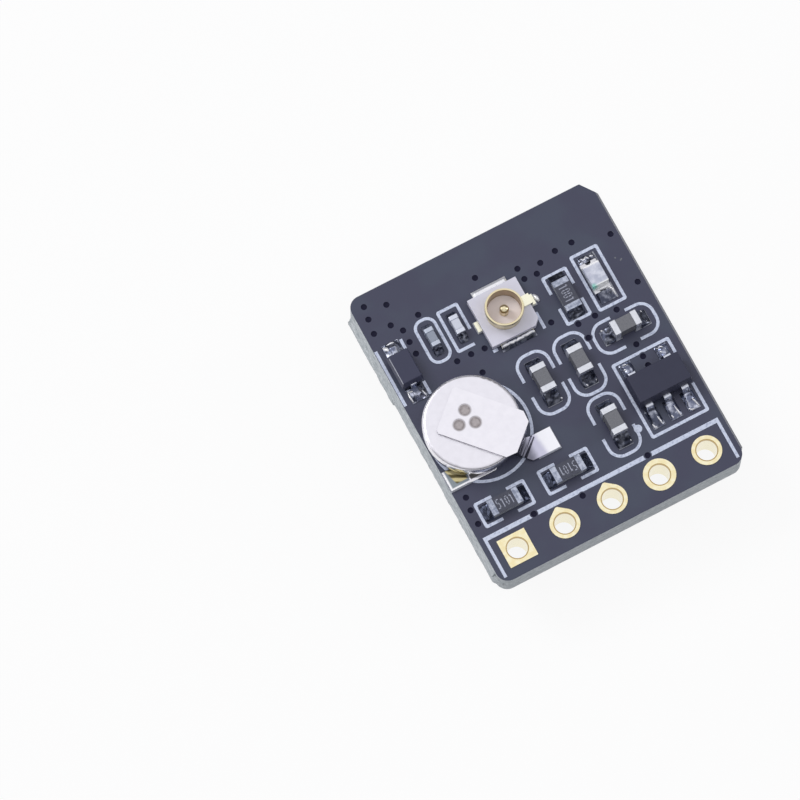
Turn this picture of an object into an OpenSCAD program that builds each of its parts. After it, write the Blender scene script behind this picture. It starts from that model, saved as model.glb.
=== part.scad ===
// Small GPS board: coin cell, antenna socket and chip parts on top, receiver underneath.
// X runs along the header row, Y runs to the plain end, Z is up and starts at the shield can.

/* [Board] */
// Width of the board, along the header row
board_width = 13.1; // [13.1:0.1:16]
// Length of the board
board_length = 15.7; // [15.7:0.1:20]
// Thickness of the laminate
board_thickness = 1.6; // [0.8:0.1:2.4]
// Radius of the routed corners
corner_radius = 0.6; // [0.2:0.05:1]
// Reach of the filed corner along the width
filed_width = 0.5; // [0.2:0.05:0.9]
// Reach of the filed corner along the length
filed_length = 0.7; // [0.2:0.05:0.9]
// Reach of the broken web along the scored long sides
score_reach = 0.18; // [0.05:0.01:0.3]
// Thickness of that web, between the two scored grooves
score_web = 0.6; // [0.3:0.05:0.7]
// Drill of the vias
via_drill = 0.3; // [0.15:0.05:0.4]
// Thickness of the bare copper lands
land_thickness = 0.04; // [0.03:0.01:0.08]

/* [Print] */
// Thickness of the ink
ink_thickness = 0.02; // [0.01:0.005:0.03]
// Width of a printed line
ink_line = 0.15; // [0.1:0.01:0.22]
// Width of the heavy line above the header
ink_heavy = 0.22; // [0.15:0.01:0.3]
// Space between a frame and the part it surrounds, along the part
frame_end = 0.55; // [0.5:0.05:0.8]
// Space between a frame and the part it surrounds, across the part
frame_side = 0.28; // [0.2:0.02:0.4]
// Corner radius of the capacitor frames
frame_round = 0.7; // [0.3:0.05:0.8]
// Opening in the long sides of a frame
frame_gap = 0.8; // [0.4:0.05:1.2]
// Length of the break in one corner of the inductor's frame
corner_break = 1.4; // [1:0.05:1.5]
// Diameter of the first-lead dot
ink_dot = 0.4; // [0.2:0.05:0.5]
// Diameter of the battery circle
ink_circle = 5.05; // [4.2:0.05:5.1]
// Offset of the battery circle from the cell, along the width
circle_x = 0.33; // [0:0.01:0.4]
// Offset of the battery circle from the cell, along the length
circle_y = -0.27; // [-0.4:0.01:0.2]
// Distance of the long diode line from the diode's centre
diode_line = 0.77; // [0.7:0.01:0.8]
// Distance of the short diode lines from the diode's centre
diode_ticks = 0.56; // [0.5:0.01:0.7]
// Clear space that the ink keeps from lands and vias
ink_clear = 0.06; // [0.02:0.01:0.1]

/* [Header] */
// Pitch of the header holes
header_pitch = 2.54; // [2.4:0.01:2.6]
// Distance of the header row from the board edge
header_edge = 1.25; // [1:0.01:1.5]
// Diameter of a plated header hole
header_hole = 1; // [0.7:0.05:1.2]
// Thickness of the metal lining in a header hole
header_wall = 0.16; // [0.16:0.01:0.18]
// Diameter of a header ring
header_ring = 1.46; // [1.4:0.02:1.7]
// Diameter of the ring that is wired to the ground copper
header_ground = 1.58; // [1.44:0.02:1.7]
// Height of the pointed trace entry on a ring
ring_tip = 0.3; // [0.2:0.05:0.35]

/* [Antenna socket] */
// Socket centre along the width
socket_x = -0.2; // [-0.3:0.05:0]
// Socket centre along the length
socket_y = 3.8; // [3.6:0.05:3.9]
// Side of the moulded base
socket_side = 2.6; // [2.4:0.05:2.7]
// Height of the moulded base
socket_base = 0.42; // [0.3:0.02:0.6]
// Cut corner of the socket's base
base_cut = 0.28; // [0.1:0.02:0.34]
// Height of the ring above the board
socket_height = 1.25; // [1:0.05:1.5]
// Outer diameter of the ring at its bead
ring_outer = 1.9; // [1.8:0.05:2.1]
// Inner diameter of the ring
ring_inner = 1.64; // [1.5:0.02:1.64]
// Depth of the snap groove around the ring
ring_groove = 0.07; // [0.03:0.01:0.09]
// Width of the two ground feet
ground_width = 1.75; // [1.4:0.05:1.9]
// Reach of a ground foot past the base
ground_reach = 0.2; // [0.14:0.02:0.32]
// Thickness of the sheet metal
socket_sheet = 0.12; // [0.08:0.01:0.15]
// Width of the narrow tails
tail_width = 0.52; // [0.4:0.02:0.6]
// Reach of the signal tail past the base
tail_reach = 0.2; // [0.14:0.02:0.3]
// Reach of the ground strap past the base
strap_reach = 0.3; // [0.26:0.02:0.4]
// Diameter of the centre contact
contact_diameter = 0.44; // [0.3:0.02:0.5]
// Height of the centre contact above the board
contact_height = 1.05; // [0.8:0.05:1.2]
// Gap between the signal metal and the ground metal
signal_gap = 0.14; // [0.1:0.02:0.2]

/* [Battery] */
// Cell centre along the width
cell_x = -4.26; // [-4.3:0.02:-4]
// Cell centre along the length
cell_y = -0.5; // [-0.7:0.05:-0.5]
// Diameter of the cell
cell_diameter = 4.7; // [4.4:0.05:4.8]
// Height of the cell
cell_height = 1.2; // [0.9:0.05:1.6]
// Radius of the cell's drawn edge
cell_edge = 0.18; // [0.08:0.02:0.3]
// Reach of the crimped lower edge, inward
cell_crimp = 0.3; // [0.1:0.02:0.32]
// Share of the cell's height that the crimp takes
cell_crimp_share = 0.58; // [0.3:0.02:0.6]
// Width of the seal ring
seal_width = 0.25; // [0.15:0.05:0.4]
// Distance of the seal ring from the crimp's inner edge
seal_inset = 0.1; // [0.05:0.05:0.3]
// Depth of the seal ring
seal_depth = 0.3; // [0.1:0.05:0.5]
// Thickness of the tabs
tab_thickness = 0.14; // [0.08:0.02:0.2]
// Width of the top tab
tab_width = 2.4; // [2:0.1:2.8]
// Reach of the top tab behind the cell centre
tab_behind = 1.4; // [1.2:0.1:1.8]
// Offset of the top tab across its length
tab_offset = 0.1; // [0:0.02:0.2]
// Turn of the top tab below the width axis
tab_turn = 48; // [44:1:52]
// Corner cut of the top tab
tab_corner = 0.4; // [0.2:0.05:0.6]
// Cut on the two corners of the top tab's free end
tab_free_corner = 0.12; // [0.05:0.01:0.3]
// Width of the top tab's leg
leg_width = 1.1; // [0.8:0.1:1.3]
// Gap between the cell's side and the leg
leg_gap = 0.03; // [0.01:0.01:0.1]
// Inner radius of the bend from the leg to its foot
tab_bend = 0.45; // [0.2:0.05:0.5]
// Reach of the top tab's foot past the cell's side
foot_reach = 0.96; // [0.8:0.02:1]
// Width of the top tab's foot
foot_width = 1.1; // [0.8:0.05:1.2]
// Distance of that foot's middle from the cell's centre, toward the header
foot_drop = 2.18; // [2.1:0.02:2.24]
// Diameter of a weld mark
weld_diameter = 0.62; // [0.4:0.02:0.7]
// Depth of a weld mark
weld_depth = 0.02; // [0.01:0.005:0.04]
// Diameter of the circle through the weld marks
weld_circle = 0.9; // [0.8:0.02:1.1]
// Distance of the weld marks behind the cell's centre
weld_behind = 0.27; // [0.2:0.01:0.4]
// Distance of the weld marks from the line of the cell's centre
weld_aside = 0.01; // [0:0.01:0.2]
// Width of the bottom tab under the cell
strip_width = 1.65; // [1.2:0.05:1.8]
// Reach of the bottom tab past the cell's centre, toward the header
strip_reach = 2.25; // [2:0.05:2.3]
// Side of the bottom tab's foot
strip_foot = 1; // [0.8:0.05:1.05]
// Reach of the bottom tab's straight edge past the edge of its foot
strip_lip = 0.05; // [0:0.01:0.1]

/* [Regulator] */
// Regulator centre along the width
regulator_x = 4.62; // [4.55:0.01:4.7]
// Regulator centre along the length
regulator_y = -2.8; // [-2.86:0.02:-2.74]
// Length of the regulator body
regulator_length = 2.9; // [2.6:0.05:3]
// Width of the regulator body
regulator_width = 1.6; // [1.4:0.05:1.7]
// Height of the regulator
regulator_height = 1.1; // [0.9:0.05:1.4]
// Pitch of the regulator leads
regulator_pitch = 0.95; // [0.9:0.01:1]
// Width of a regulator lead
regulator_lead = 0.38; // [0.3:0.02:0.5]
// Span over the tips of the regulator leads
regulator_span = 2.9; // [2.7:0.05:3]

/* [Diode] */
// Diode centre along the width
diode_x = -5.68; // [-5.72:0.02:-5.64]
// Diode centre along the length
diode_y = 3.5; // [3.5:0.02:3.6]
// Length of the diode body
diode_length = 1.7; // [1.5:0.05:1.8]
// Width of the diode body
diode_width = 1.15; // [1:0.05:1.3]
// Height of the diode
diode_height = 0.95; // [0.8:0.05:1.2]
// Width of a diode lead
diode_lead = 0.32; // [0.25:0.01:0.45]
// Width of a diode land
diode_land = 0.8; // [0.5:0.02:0.84]
// Span over the tips of the diode leads
diode_span = 2.6; // [2.4:0.05:2.7]

/* [Moulded packages] */
// Thickness of the lead sheet
lead_thickness = 0.14; // [0.08:0.01:0.18]
// Height of the lead's shoulder above the lands
lead_shoulder = 0.42; // [0.35:0.01:0.46]
// Length of a lead's flat foot
lead_foot = 0.38; // [0.25:0.01:0.42]
// Length of lead held inside the moulding
lead_hold = 0.2; // [0.1:0.02:0.3]
// Slope taken off each side of the moulding
mould_draft = 0.09; // [0.04:0.01:0.12]
// Gap between the moulding and the lands
mould_standoff = 0.06; // [0.02:0.01:0.1]

/* [LED] */
// LED centre along the width
led_x = 4.62; // [4.5:0.02:4.7]
// LED centre along the length
led_y = 3.3; // [3.2:0.02:3.4]
// Length of the LED
led_length = 1.6; // [1.5:0.05:1.7]
// Width of the LED
led_width = 0.85; // [0.7:0.05:0.9]
// Thickness of the LED's base
led_base_height = 0.26; // [0.2:0.02:0.4]
// Height of the LED over all
led_height = 0.66; // [0.55:0.02:0.8]
// Length of the lens
led_lens_length = 1.2; // [0.9:0.02:1.24]
// Slope taken off each end of the lens
led_lens_draft = 0.06; // [0.02:0.01:0.1]
// Diameter of the half-round notch in each end of the LED
led_notch = 0.3; // [0.2:0.02:0.34]
// Side of the light-emitting die
led_die_side = 0.26; // [0.2:0.02:0.3]
// Height of the die
led_die_height = 0.12; // [0.08:0.01:0.15]
// Diameter of the bond wire
led_wire_diameter = 0.03; // [0.02:0.005:0.05]

/* [Chip parts] */
// Length of a resistor
chip_length = 1.6; // [1.5:0.05:1.7]
// Width of a resistor
chip_width = 0.8; // [0.7:0.05:0.9]
// Length of a larger capacitor
capacitor_length = 1.4; // [1.3:0.05:1.5]
// Width of a larger capacitor
capacitor_width = 0.75; // [0.65:0.05:0.8]
// Height of the larger capacitors
capacitor_height = 0.8; // [0.6:0.05:1]
// Height of the resistors
resistor_height = 0.45; // [0.35:0.05:0.6]
// Length of the end band on the larger chip parts
chip_band = 0.3; // [0.2:0.02:0.4]
// Length of the smaller chip parts
small_length = 0.95; // [0.85:0.05:1]
// Width of the smaller chip parts
small_width = 0.45; // [0.4:0.01:0.5]
// Height of the smaller chip parts
small_height = 0.5; // [0.35:0.05:0.6]
// Length of the end band on the smaller chip parts
small_band = 0.22; // [0.15:0.01:0.3]
// Thickness of the end metal
end_metal = 0.03; // [0.02:0.005:0.05]
// Thickness of the black coat on a resistor
coat_thickness = 0.04; // [0.03:0.005:0.06]

/* [Chip places] */
// First capacitor along the width
capacitor_1_x = -0.15; // [-0.2:0.01:-0.1]
// First capacitor along the length
capacitor_1_y = -0.05; // [-0.1:0.01:0]
// Second capacitor along the width
capacitor_2_x = 1.82; // [1.75:0.01:1.85]
// Second capacitor along the length
capacitor_2_y = -0.05; // [-0.1:0.01:0]
// Third capacitor along the width
capacitor_3_x = 4.57; // [4.5:0.01:4.65]
// Third capacitor along the length
capacitor_3_y = 0.48; // [0.45:0.01:0.55]
// Fourth capacitor along the width
capacitor_4_x = 1.82; // [1.75:0.01:1.85]
// Fourth capacitor along the length
capacitor_4_y = -3.44; // [-3.5:0.01:-3.4]
// First resistor along the width
resistor_1_x = -4.58; // [-4.65:0.01:-4.5]
// First resistor along the length
resistor_1_y = -4.42; // [-4.45:0.01:-4.4]
// Second resistor along the width
resistor_2_x = -1.2; // [-1.3:0.01:-1.15]
// Second resistor along the length
resistor_2_y = -4.42; // [-4.45:0.01:-4.4]
// Third resistor along the width
resistor_3_x = 2.86; // [2.8:0.01:2.9]
// Third resistor along the length
resistor_3_y = 3.2; // [3.15:0.01:3.25]
// Antenna-path capacitor along the width
rf_capacitor_x = -3.79; // [-3.85:0.01:-3.75]
// Antenna-path capacitor along the length
rf_capacitor_y = 4.25; // [4.2:0.01:4.3]
// Antenna-path inductor along the width
rf_inductor_x = -2.46; // [-2.5:0.01:-2.44]
// Antenna-path inductor along the length
rf_inductor_y = 4.25; // [4.2:0.01:4.3]

/* [Solder] */
// Length of a fillet past the end of a resistor or the LED
fillet_run = 0.36; // [0.2:0.02:0.4]
// Length of a fillet past the end of a larger capacitor
capacitor_run = 0.42; // [0.3:0.02:0.44]
// Length of a land past the tips of the regulator's leads
regulator_run = 0.26; // [0.22:0.02:0.3]
// Distance that the capacitors slid along the board on the soft solder
chip_slip = 0.06; // [0:0.01:0.08]
// Distance that the regulator slid along the board
regulator_slip = 0.16; // [0:0.02:0.16]
// Distance that the LED slid across the board
led_slip = 0.12; // [0:0.01:0.12]
// Share of a part's end that its solder climbs
fillet_climb = 0.6; // [0.3:0.05:0.9]
// Length of a fillet past a lead or a smaller chip part
fillet_short = 0.22; // [0.1:0.02:0.24]
// Bare land left around a foot or a fillet
land_margin = 0.05; // [0.02:0.01:0.08]

/* [Receiver] */
// Receiver centre along the length
receiver_y = 1.6; // [1.4:0.05:1.8]
// Length of the receiver, along the header row
receiver_length = 10.1; // [9.6:0.1:11]
// Width of the receiver
receiver_width = 9.7; // [9:0.1:10.2]
// Height of the receiver over all
receiver_height = 2.4; // [2.1:0.1:3]
// Thickness of the receiver's own board
receiver_thickness = 0.8; // [0.6:0.05:0.9]
// Contacts on each side of the receiver
contact_count = 9; // [5:2:9]
// Pitch of the contacts
contact_pitch = 1.1; // [1:0.05:1.15]
// Width of a contact
contact_width = 0.6; // [0.6:0.02:0.7]
// Depth of a contact's land under the receiver
contact_land = 0.7; // [0.5:0.05:0.9]
// Diameter of the half-round edge notch
notch_diameter = 0.5; // [0.4:0.02:0.56]
// Thickness of the metal in a notch
notch_wall = 0.04; // [0.02:0.01:0.06]
// Length of the shield can
can_length = 9.3; // [8.8:0.1:9.5]
// Width of the shield can
can_width = 8.1; // [7.8:0.1:8.3]
// Wall of the shield can
can_wall = 0.15; // [0.1:0.01:0.25]
// Radius of the can's upright corners
can_corner = 0.6; // [0.3:0.05:1]
// Side of the receiver chip as a share of the can's width
receiver_chip_share = 0.62; // [0.5:0.01:0.66]
// Height of the receiver chip
receiver_chip_height = 0.85; // [0.5:0.05:0.95]
// Length of the oscillator
oscillator_length = 2; // [1.6:0.1:2.5]
// Width of the oscillator
oscillator_width = 1.6; // [1.2:0.1:2]
// Height of the oscillator
oscillator_height = 0.7; // [0.5:0.05:0.9]
// Length of the filter
filter_length = 1.4; // [1:0.1:1.6]
// Width of the filter
filter_width = 1.1; // [0.9:0.1:1.3]
// Height of the filter
filter_height = 0.5; // [0.4:0.05:0.8]
// Side of the amplifier
amplifier_side = 1.1; // [0.8:0.1:1.4]
// Height of the amplifier
amplifier_height = 0.5; // [0.4:0.05:0.8]
// Length of the clock crystal
crystal_length = 3.2; // [2:0.1:3.4]
// Width of the clock crystal
crystal_width = 1.5; // [1.2:0.1:1.6]
// Height of the clock crystal
crystal_height = 0.75; // [0.5:0.05:0.9]
// Gap round the packages inside the can
package_gap = 0.4; // [0.2:0.05:0.45]

/* [Hidden] */
$fn = 48;
// Overshoot of a cutting tool past the surface it leaves
over = 0.1;
header_count = 5;
half_width = board_width / 2;
half_length = board_length / 2;
// Levels from the floor up: underside, top face, and the tops of the bare lands
under = receiver_height;
top = under + board_thickness;
seat = top + land_thickness;
header_y = header_edge - half_length;
header_x = [for (i = [0:header_count - 1]) (i - (header_count - 1) / 2) * header_pitch];
hole_bore = header_hole + 2 * header_wall;
// Each place is the centre of a part and the turn of its length
capacitors = [
    [capacitor_1_x, capacitor_1_y, 90],
    [capacitor_2_x, capacitor_2_y, 90],
    [capacitor_3_x, capacitor_3_y, 0],
    [capacitor_4_x, capacitor_4_y, 90]
];
resistors = [
    [resistor_1_x, resistor_1_y, 0],
    [resistor_2_x, resistor_2_y, 0],
    [resistor_3_x, resistor_3_y, 90]
];
rf_capacitor_at = [rf_capacitor_x, rf_capacitor_y, 90];
rf_inductor_at = [rf_inductor_x, rf_inductor_y, 90];
led_at = [led_x, led_y, 90];
// A part that slid on the soft solder stands a little beside the centre of its lands
function slid(at, across, along) = [at[0] + across, at[1] + along, at[2]];
capacitor_bodies = [for (at = capacitors) slid(at, 0, chip_slip)];
rf_capacitor_body_at = slid(rf_capacitor_at, 0, chip_slip);
rf_inductor_body_at = slid(rf_inductor_at, 0, chip_slip);
led_body_at = slid(led_at, -led_slip, led_slip / 2);
diode_at = [diode_x, diode_y, 90];
regulator_at = [regulator_x, regulator_y, 0];
regulator_body_at = slid(regulator_at, 0, regulator_slip);
socket_at = [socket_x, socket_y, 0];
cell_at = [cell_x, cell_y, 0];
cell_floor = seat + tab_thickness;
cell_top = cell_floor + cell_height;
leg_inner = cell_diameter / 2 + leg_gap;
leg_outer = leg_inner + tab_thickness;
// The top tab's foot points along the width, from the leg to this reach from the cell's centre
foot_end = cell_diameter / 2 + foot_reach;
// Leads leave a side at these offsets along the body
front_leads = [-regulator_pitch, 0, regulator_pitch];
back_leads = [-regulator_pitch, regulator_pitch];
ring_wall = (ring_outer - ring_inner) / 2;
// Levels of the receiver, from the can's face up
can_rim = receiver_height - 2 * land_thickness - receiver_thickness;
// Packages stand along the inside of the can, measured from the receiver's centre
pack_x = can_length / 2 - can_wall - package_gap;
pack_y = can_width / 2 - can_wall - package_gap;
receiver_chip_side = receiver_chip_share * can_width;
receiver_chip_x = receiver_chip_side / 2 - pack_x;
receiver_chip_y = receiver_chip_side / 2 - pack_y;
oscillator_x = pack_x - oscillator_length / 2;
oscillator_y = receiver_chip_y;
filter_y = pack_y - filter_width / 2;
amplifier_x = oscillator_x - filter_length / 2 - package_gap - amplifier_side / 2;
amplifier_y = filter_y;
crystal_x = crystal_length / 2 - pack_x;
crystal_y = pack_y - crystal_width / 2;
contact_x = [for (i = [0:contact_count - 1]) (i - (contact_count - 1) / 2) * contact_pitch];
// Vias as they are scattered over the board
vias = [
    [-5.9, 7.25], [-4.9, 6.85], [-6, 6.6], [-6.1, 5.85], [-5.2, 5.85], [-4.8, 5.35],
    [-3.8, 5.7], [-4.8, 4.7], [-4.8, 4.05], [-0.55, 6.05], [-3.25, 2.8], [-2.5, 2.8],
    [-1.8, 2.75], [1.45, 5.5], [1.5, 4.9], [2.15, 4.85], [2.55, 5.25], [3.45, 5.45],
    [4.35, 5.45], [6.2, 4.95], [1.6, 2.4], [6.2, 2.25], [-2.45, 1.75], [2.7, 1.72],
    [3.6, 1.72], [4.65, 1.5], [4.65, -0.45], [4.65, -1.12], [4.65, -1.62], [2.8, 0.9],
    [-6.05, -3.3], [-6.15, -3.95], [-6.15, -4.7], [-3.6, -5.5], [-1.15, -5.8], [2.5, -5.5]
];

// Puts a shape at a place, at a level
module place(at, level) {
    translate([at[0], at[1], level])
        rotate([0, 0, at[2]])
            children();
}

// Puts a flat shape at a place
module spot(at) {
    translate([at[0], at[1]])
        rotate(at[2])
            children();
}

// The two ends of a part, the second turned about
module both_ends() {
    for (turn = [0, 180])
        rotate([0, 0, turn])
            children();
}

// A profile drawn along the length and up, given a width
module drawn(width) {
    rotate([90, 0, 0])
        linear_extrude(width, center = true)
            children();
}

// A box on its underside, centred
module block(length, width, height) {
    translate([-length / 2, -width / 2, 0])
        cube([length, width, height]);
}

// A flat rectangle with round corners
module rounded(length, width, radius) {
    square([length, width - 2 * radius], center = true);
    square([length - 2 * radius, width], center = true);
    for (sx = [-1, 1], sy = [-1, 1])
        translate([sx * (length / 2 - radius), sy * (width / 2 - radius)])
            circle(radius);
}

// The line around a flat rectangle, its outer size given
module outline(length, width, radius) {
    difference() {
        rounded(length, width, radius);
        rounded(length - 2 * ink_line, width - 2 * ink_line, max(radius - ink_line, 0.05));
    }
}

// A pair of flat lands under the two ends of a part
module land_pair(inner, outer, width) {
    for (side = [-1, 1])
        translate([side * (inner + outer) / 2, 0])
            square([outer - inner, width], center = true);
}

// Solder that climbs an end face and thins out over its land
module fillet(run, climb, width) {
    drawn(width)
        polygon([
            [0, 0], [run, 0], [0.55 * run, 0.16 * climb],
            [0.26 * run, 0.42 * climb], [0.08 * run, 0.76 * climb], [0, climb]
        ]);
}

// A moulded body with its parting line at the leads and sloped sides
module moulding(length, width, height) {
    parting = lead_shoulder + lead_thickness / 2;
    intersection() {
        drawn(width)
            moulding_profile(length, height, parting);
        rotate([0, 0, 90])
            drawn(length)
                moulding_profile(width, height, parting);
    }
}

module moulding_profile(length, height, parting) {
    half = length / 2;
    polygon([
        [-half + mould_draft, mould_standoff], [half - mould_draft, mould_standoff],
        [half, parting], [half - mould_draft, height],
        [-half + mould_draft, height], [-half, parting]
    ]);
}

// A lead that leaves a body's side, steps down and ends in a flat foot
module gull_lead(face, tip, width) {
    heel = tip - lead_foot;
    knee = (face + heel) / 2;
    rise = lead_shoulder + lead_thickness;
    drawn(width)
        polygon([
            [face - lead_hold, lead_shoulder], [knee - lead_thickness, lead_shoulder],
            [heel - lead_thickness / 2, 0], [tip, 0], [tip, lead_thickness],
            [heel + lead_thickness / 2, lead_thickness],
            [knee, rise], [face - lead_hold, rise]
        ]);
}

// The ceramic block of a capacitor or inductor
module ceramic(length, width, height) {
    translate([0, 0, end_metal])
        block(length - 2 * end_metal, width - 2 * end_metal, height - 2 * end_metal);
}

// Metal cups over the two ends of a ceramic block
module end_cups(length, width, height, band) {
    difference() {
        both_ends()
            translate([(length - band) / 2, 0, 0])
                block(band, width, height);
        ceramic(length, width, height);
    }
}

// Metal folded over the two ends of a flat chip
module end_wraps(length, width, height, band) {
    both_ends()
        drawn(width)
            polygon([
                [length / 2 - band, 0], [length / 2, 0], [length / 2, height],
                [length / 2 - band, height], [length / 2 - band, height - end_metal],
                [length / 2 - end_metal, height - end_metal],
                [length / 2 - end_metal, end_metal], [length / 2 - band, end_metal]
            ]);
}

// The plain block that two folded ends hold
module wrapped_core(length, width, height) {
    translate([0, 0, end_metal])
        block(length - 2 * end_metal, width, height - 2 * end_metal);
}

// Rounded frame of a capacitor, open in the middle of its long sides
module capacitor_frame(length, width) {
    long = length + 2 * (frame_end + capacitor_run) - 0.04;
    wide = width + 2 * (frame_side + ink_line) + 0.15;
    difference() {
        outline(long, wide, min(frame_round, wide / 2 - 0.05));
        square([frame_gap, wide + 2 * over], center = true);
    }
}

// Square frame of a resistor, open in the middle of its long sides
module resistor_frame(length, width) {
    long = length + 2 * frame_end;
    wide = width + 2 * frame_side;
    difference() {
        outline(long, wide, 0.12);
        square([frame_gap, wide + 2 * over], center = true);
    }
}

// Flat lands on the top face
module top_lands() {
    for (at = capacitors)
        spot(at)
            land_pair(capacitor_length / 2 - chip_band - chip_slip,
                capacitor_length / 2 + capacitor_run + chip_slip + land_margin, capacitor_width);
    for (at = resistors)
        spot(at)
            land_pair(chip_length / 2 - chip_band, chip_length / 2 + fillet_run + land_margin, chip_width);
    for (at = [rf_capacitor_at, rf_inductor_at])
        spot(at)
            land_pair(small_length / 2 - small_band - chip_slip,
                small_length / 2 + fillet_short + chip_slip + land_margin, small_width);
    spot(led_at)
        land_pair(led_length / 2 - chip_band - led_slip / 2,
            led_length / 2 + fillet_run + led_slip / 2 + land_margin, led_width);
    spot(diode_at)
        land_pair(diode_span / 2 - lead_foot - land_margin, diode_span / 2 + fillet_short + land_margin,
            diode_land);
    spot(regulator_at)
        regulator_lands();
    spot(socket_at)
        socket_lands();
    spot(cell_at)
        cell_lands();
}

module regulator_lands() {
    inner = regulator_span / 2 - lead_foot - regulator_slip - land_margin;
    outer = regulator_span / 2 + regulator_run + land_margin;
    for (x = front_leads)
        translate([x, -(inner + outer) / 2])
            square([regulator_lead + 4 * land_margin, outer - inner], center = true);
    for (x = back_leads)
        translate([x, (inner + outer) / 2])
            square([regulator_lead + 4 * land_margin, outer - inner], center = true);
}

module socket_lands() {
    reach = socket_side / 2;
    for (side = [-1, 1])
        translate([0, side * (reach + ground_reach / 2)])
            square([ground_width, ground_reach + 6 * land_margin], center = true);
    translate([-reach - tail_reach / 2, 0])
        square([tail_reach + 2 * land_margin, tail_width + 2 * land_margin], center = true);
    translate([reach + strap_reach / 2, 0])
        square([strap_reach + 2 * land_margin, tail_width + 2 * land_margin], center = true);
}

module cell_lands() {
    translate([foot_end - foot_width / 2, -foot_drop])
        square([foot_width + 2 * land_margin, foot_width + 2 * land_margin], center = true);
    translate([-cell_diameter / 2 + strip_foot / 2 + 0.1, -strip_reach + strip_foot / 2])
        square([strip_foot + 2 * land_margin, strip_foot + 2 * land_margin], center = true);
}

// Flat lands on the underside, where the receiver's contacts are soldered
module under_lands() {
    for (side = [-1, 1], x = contact_x)
        translate([x, receiver_y + side * (receiver_width / 2 - contact_land / 2 + fillet_run / 2)])
            square([contact_width, contact_land + fillet_run + land_margin], center = true);
}

// Each drilled via
module via_holes(diameter) {
    for (at = vias)
        translate(at)
            circle(d = diameter);
}

// The masked laminate with round corners, one of them filed, and every drilled hole
module board() {
    color([0.28, 0.29, 0.37])
        union() {
            for (side = [0, 1])
                mirror([side, 0, 0])
                    scored_edge();
            translate([0, 0, under])
                linear_extrude(board_thickness)
                    board_face();
        }
}

// Edge left where the board was snapped from its panel along a scored groove
module scored_edge() {
    groove = (board_thickness - score_web) / 2;
    drawn(board_length - 2 * max(corner_radius, filed_length))
        polygon([
            [half_width - over, under], [half_width, under],
            [half_width + score_reach, under + groove], [half_width + score_reach, top - groove],
            [half_width, top], [half_width - over, top]
        ]);
}

module board_face() {
    difference() {
        rounded(board_width, board_length, corner_radius);
        polygon([
            [half_width - 2 * filed_width, half_length + filed_length],
            [half_width + filed_width, half_length - 2 * filed_length],
            [half_width + filed_width, half_length + filed_length]
        ]);
        board_drills();
    }
}

// Every drilled hole of the board
module board_drills() {
    for (x = header_x)
        translate([x, header_y])
            circle(d = hole_bore);
    via_holes(via_drill);
}

// Flat ring of one header hole: the first is square, two have a pointed trace entry
module header_face(i) {
    size = i == 3 ? header_ground : header_ring;
    if (i == 0)
        square(size, center = true);
    else
        circle(d = size);
    if (i == 1 || i == 2)
        polygon([
            [-size * 0.35, size * 0.36], [size * 0.35, size * 0.36],
            [0.05, size / 2 + ring_tip / 2], [-0.05, size / 2 + ring_tip / 2]
        ]);
}

// Copper of the header holes: a ring on each face, joined by the wall of the hole
module header_pads() {
    color([0.93, 0.88, 0.68])
        for (i = [0:header_count - 1])
            translate([header_x[i], header_y, 0])
                difference() {
                    union() {
                        translate([0, 0, under])
                            cylinder(d = hole_bore, h = board_thickness);
                        translate([0, 0, top])
                            linear_extrude(land_thickness)
                                header_face(i);
                        translate([0, 0, under - land_thickness])
                            linear_extrude(land_thickness)
                                header_face(i);
                    }
                    translate([0, 0, under - land_thickness - over])
                        cylinder(d = header_hole, h = board_thickness + 2 * (land_thickness + over));
                }
}

module solder_lands() {
    color([0.82, 0.82, 0.84]) {
        translate([0, 0, top])
            linear_extrude(land_thickness)
                top_lands();
        translate([0, 0, under - land_thickness])
            linear_extrude(land_thickness)
                under_lands();
    }
}

// Fillets at chip ends, lead tips, tails and edge contacts
module solder_joints() {
    color([0.72, 0.73, 0.76]) {
        for (at = capacitor_bodies)
            place(at, seat)
                both_ends()
                    translate([capacitor_length / 2, 0, 0])
                        fillet(capacitor_run, fillet_climb * capacitor_height, capacitor_width);
        for (at = resistors)
            place(at, seat)
                both_ends()
                    translate([chip_length / 2, 0, 0])
                        fillet(fillet_run, fillet_climb * resistor_height, chip_width);
        for (at = [rf_capacitor_body_at, rf_inductor_body_at])
            place(at, seat)
                both_ends()
                    translate([small_length / 2, 0, 0])
                        fillet(fillet_short, fillet_climb * small_height, small_width);
        place(led_body_at, seat)
            both_ends()
                translate([led_length / 2, 0, 0])
                    fillet(fillet_run, fillet_climb * led_base_height, led_width);
        place(diode_at, seat)
            both_ends()
                translate([diode_span / 2, 0, 0])
                    fillet(fillet_short, lead_thickness, diode_land - 2 * land_margin);
        place(regulator_body_at, seat)
            regulator_joints();
        place(socket_at, seat)
            socket_joints();
        for (side = [-1, 1], x = contact_x)
            translate([x, receiver_y + side * receiver_width / 2, under - land_thickness])
                mirror([0, 0, 1])
                    rotate([0, 0, side * 90])
                        contact_joint();
    }
}

// Fillets at the tips of the regulator's leads, longer where it slid away from the end of its lands
module regulator_joints() {
    wide = regulator_lead + 2 * land_margin;
    for (x = front_leads)
        translate([x, -regulator_span / 2, 0])
            rotate([0, 0, -90])
                fillet(regulator_run + regulator_slip, lead_thickness, wide);
    for (x = back_leads)
        translate([x, regulator_span / 2, 0])
            rotate([0, 0, 90])
                fillet(regulator_run - regulator_slip, lead_thickness, wide);
}

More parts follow.
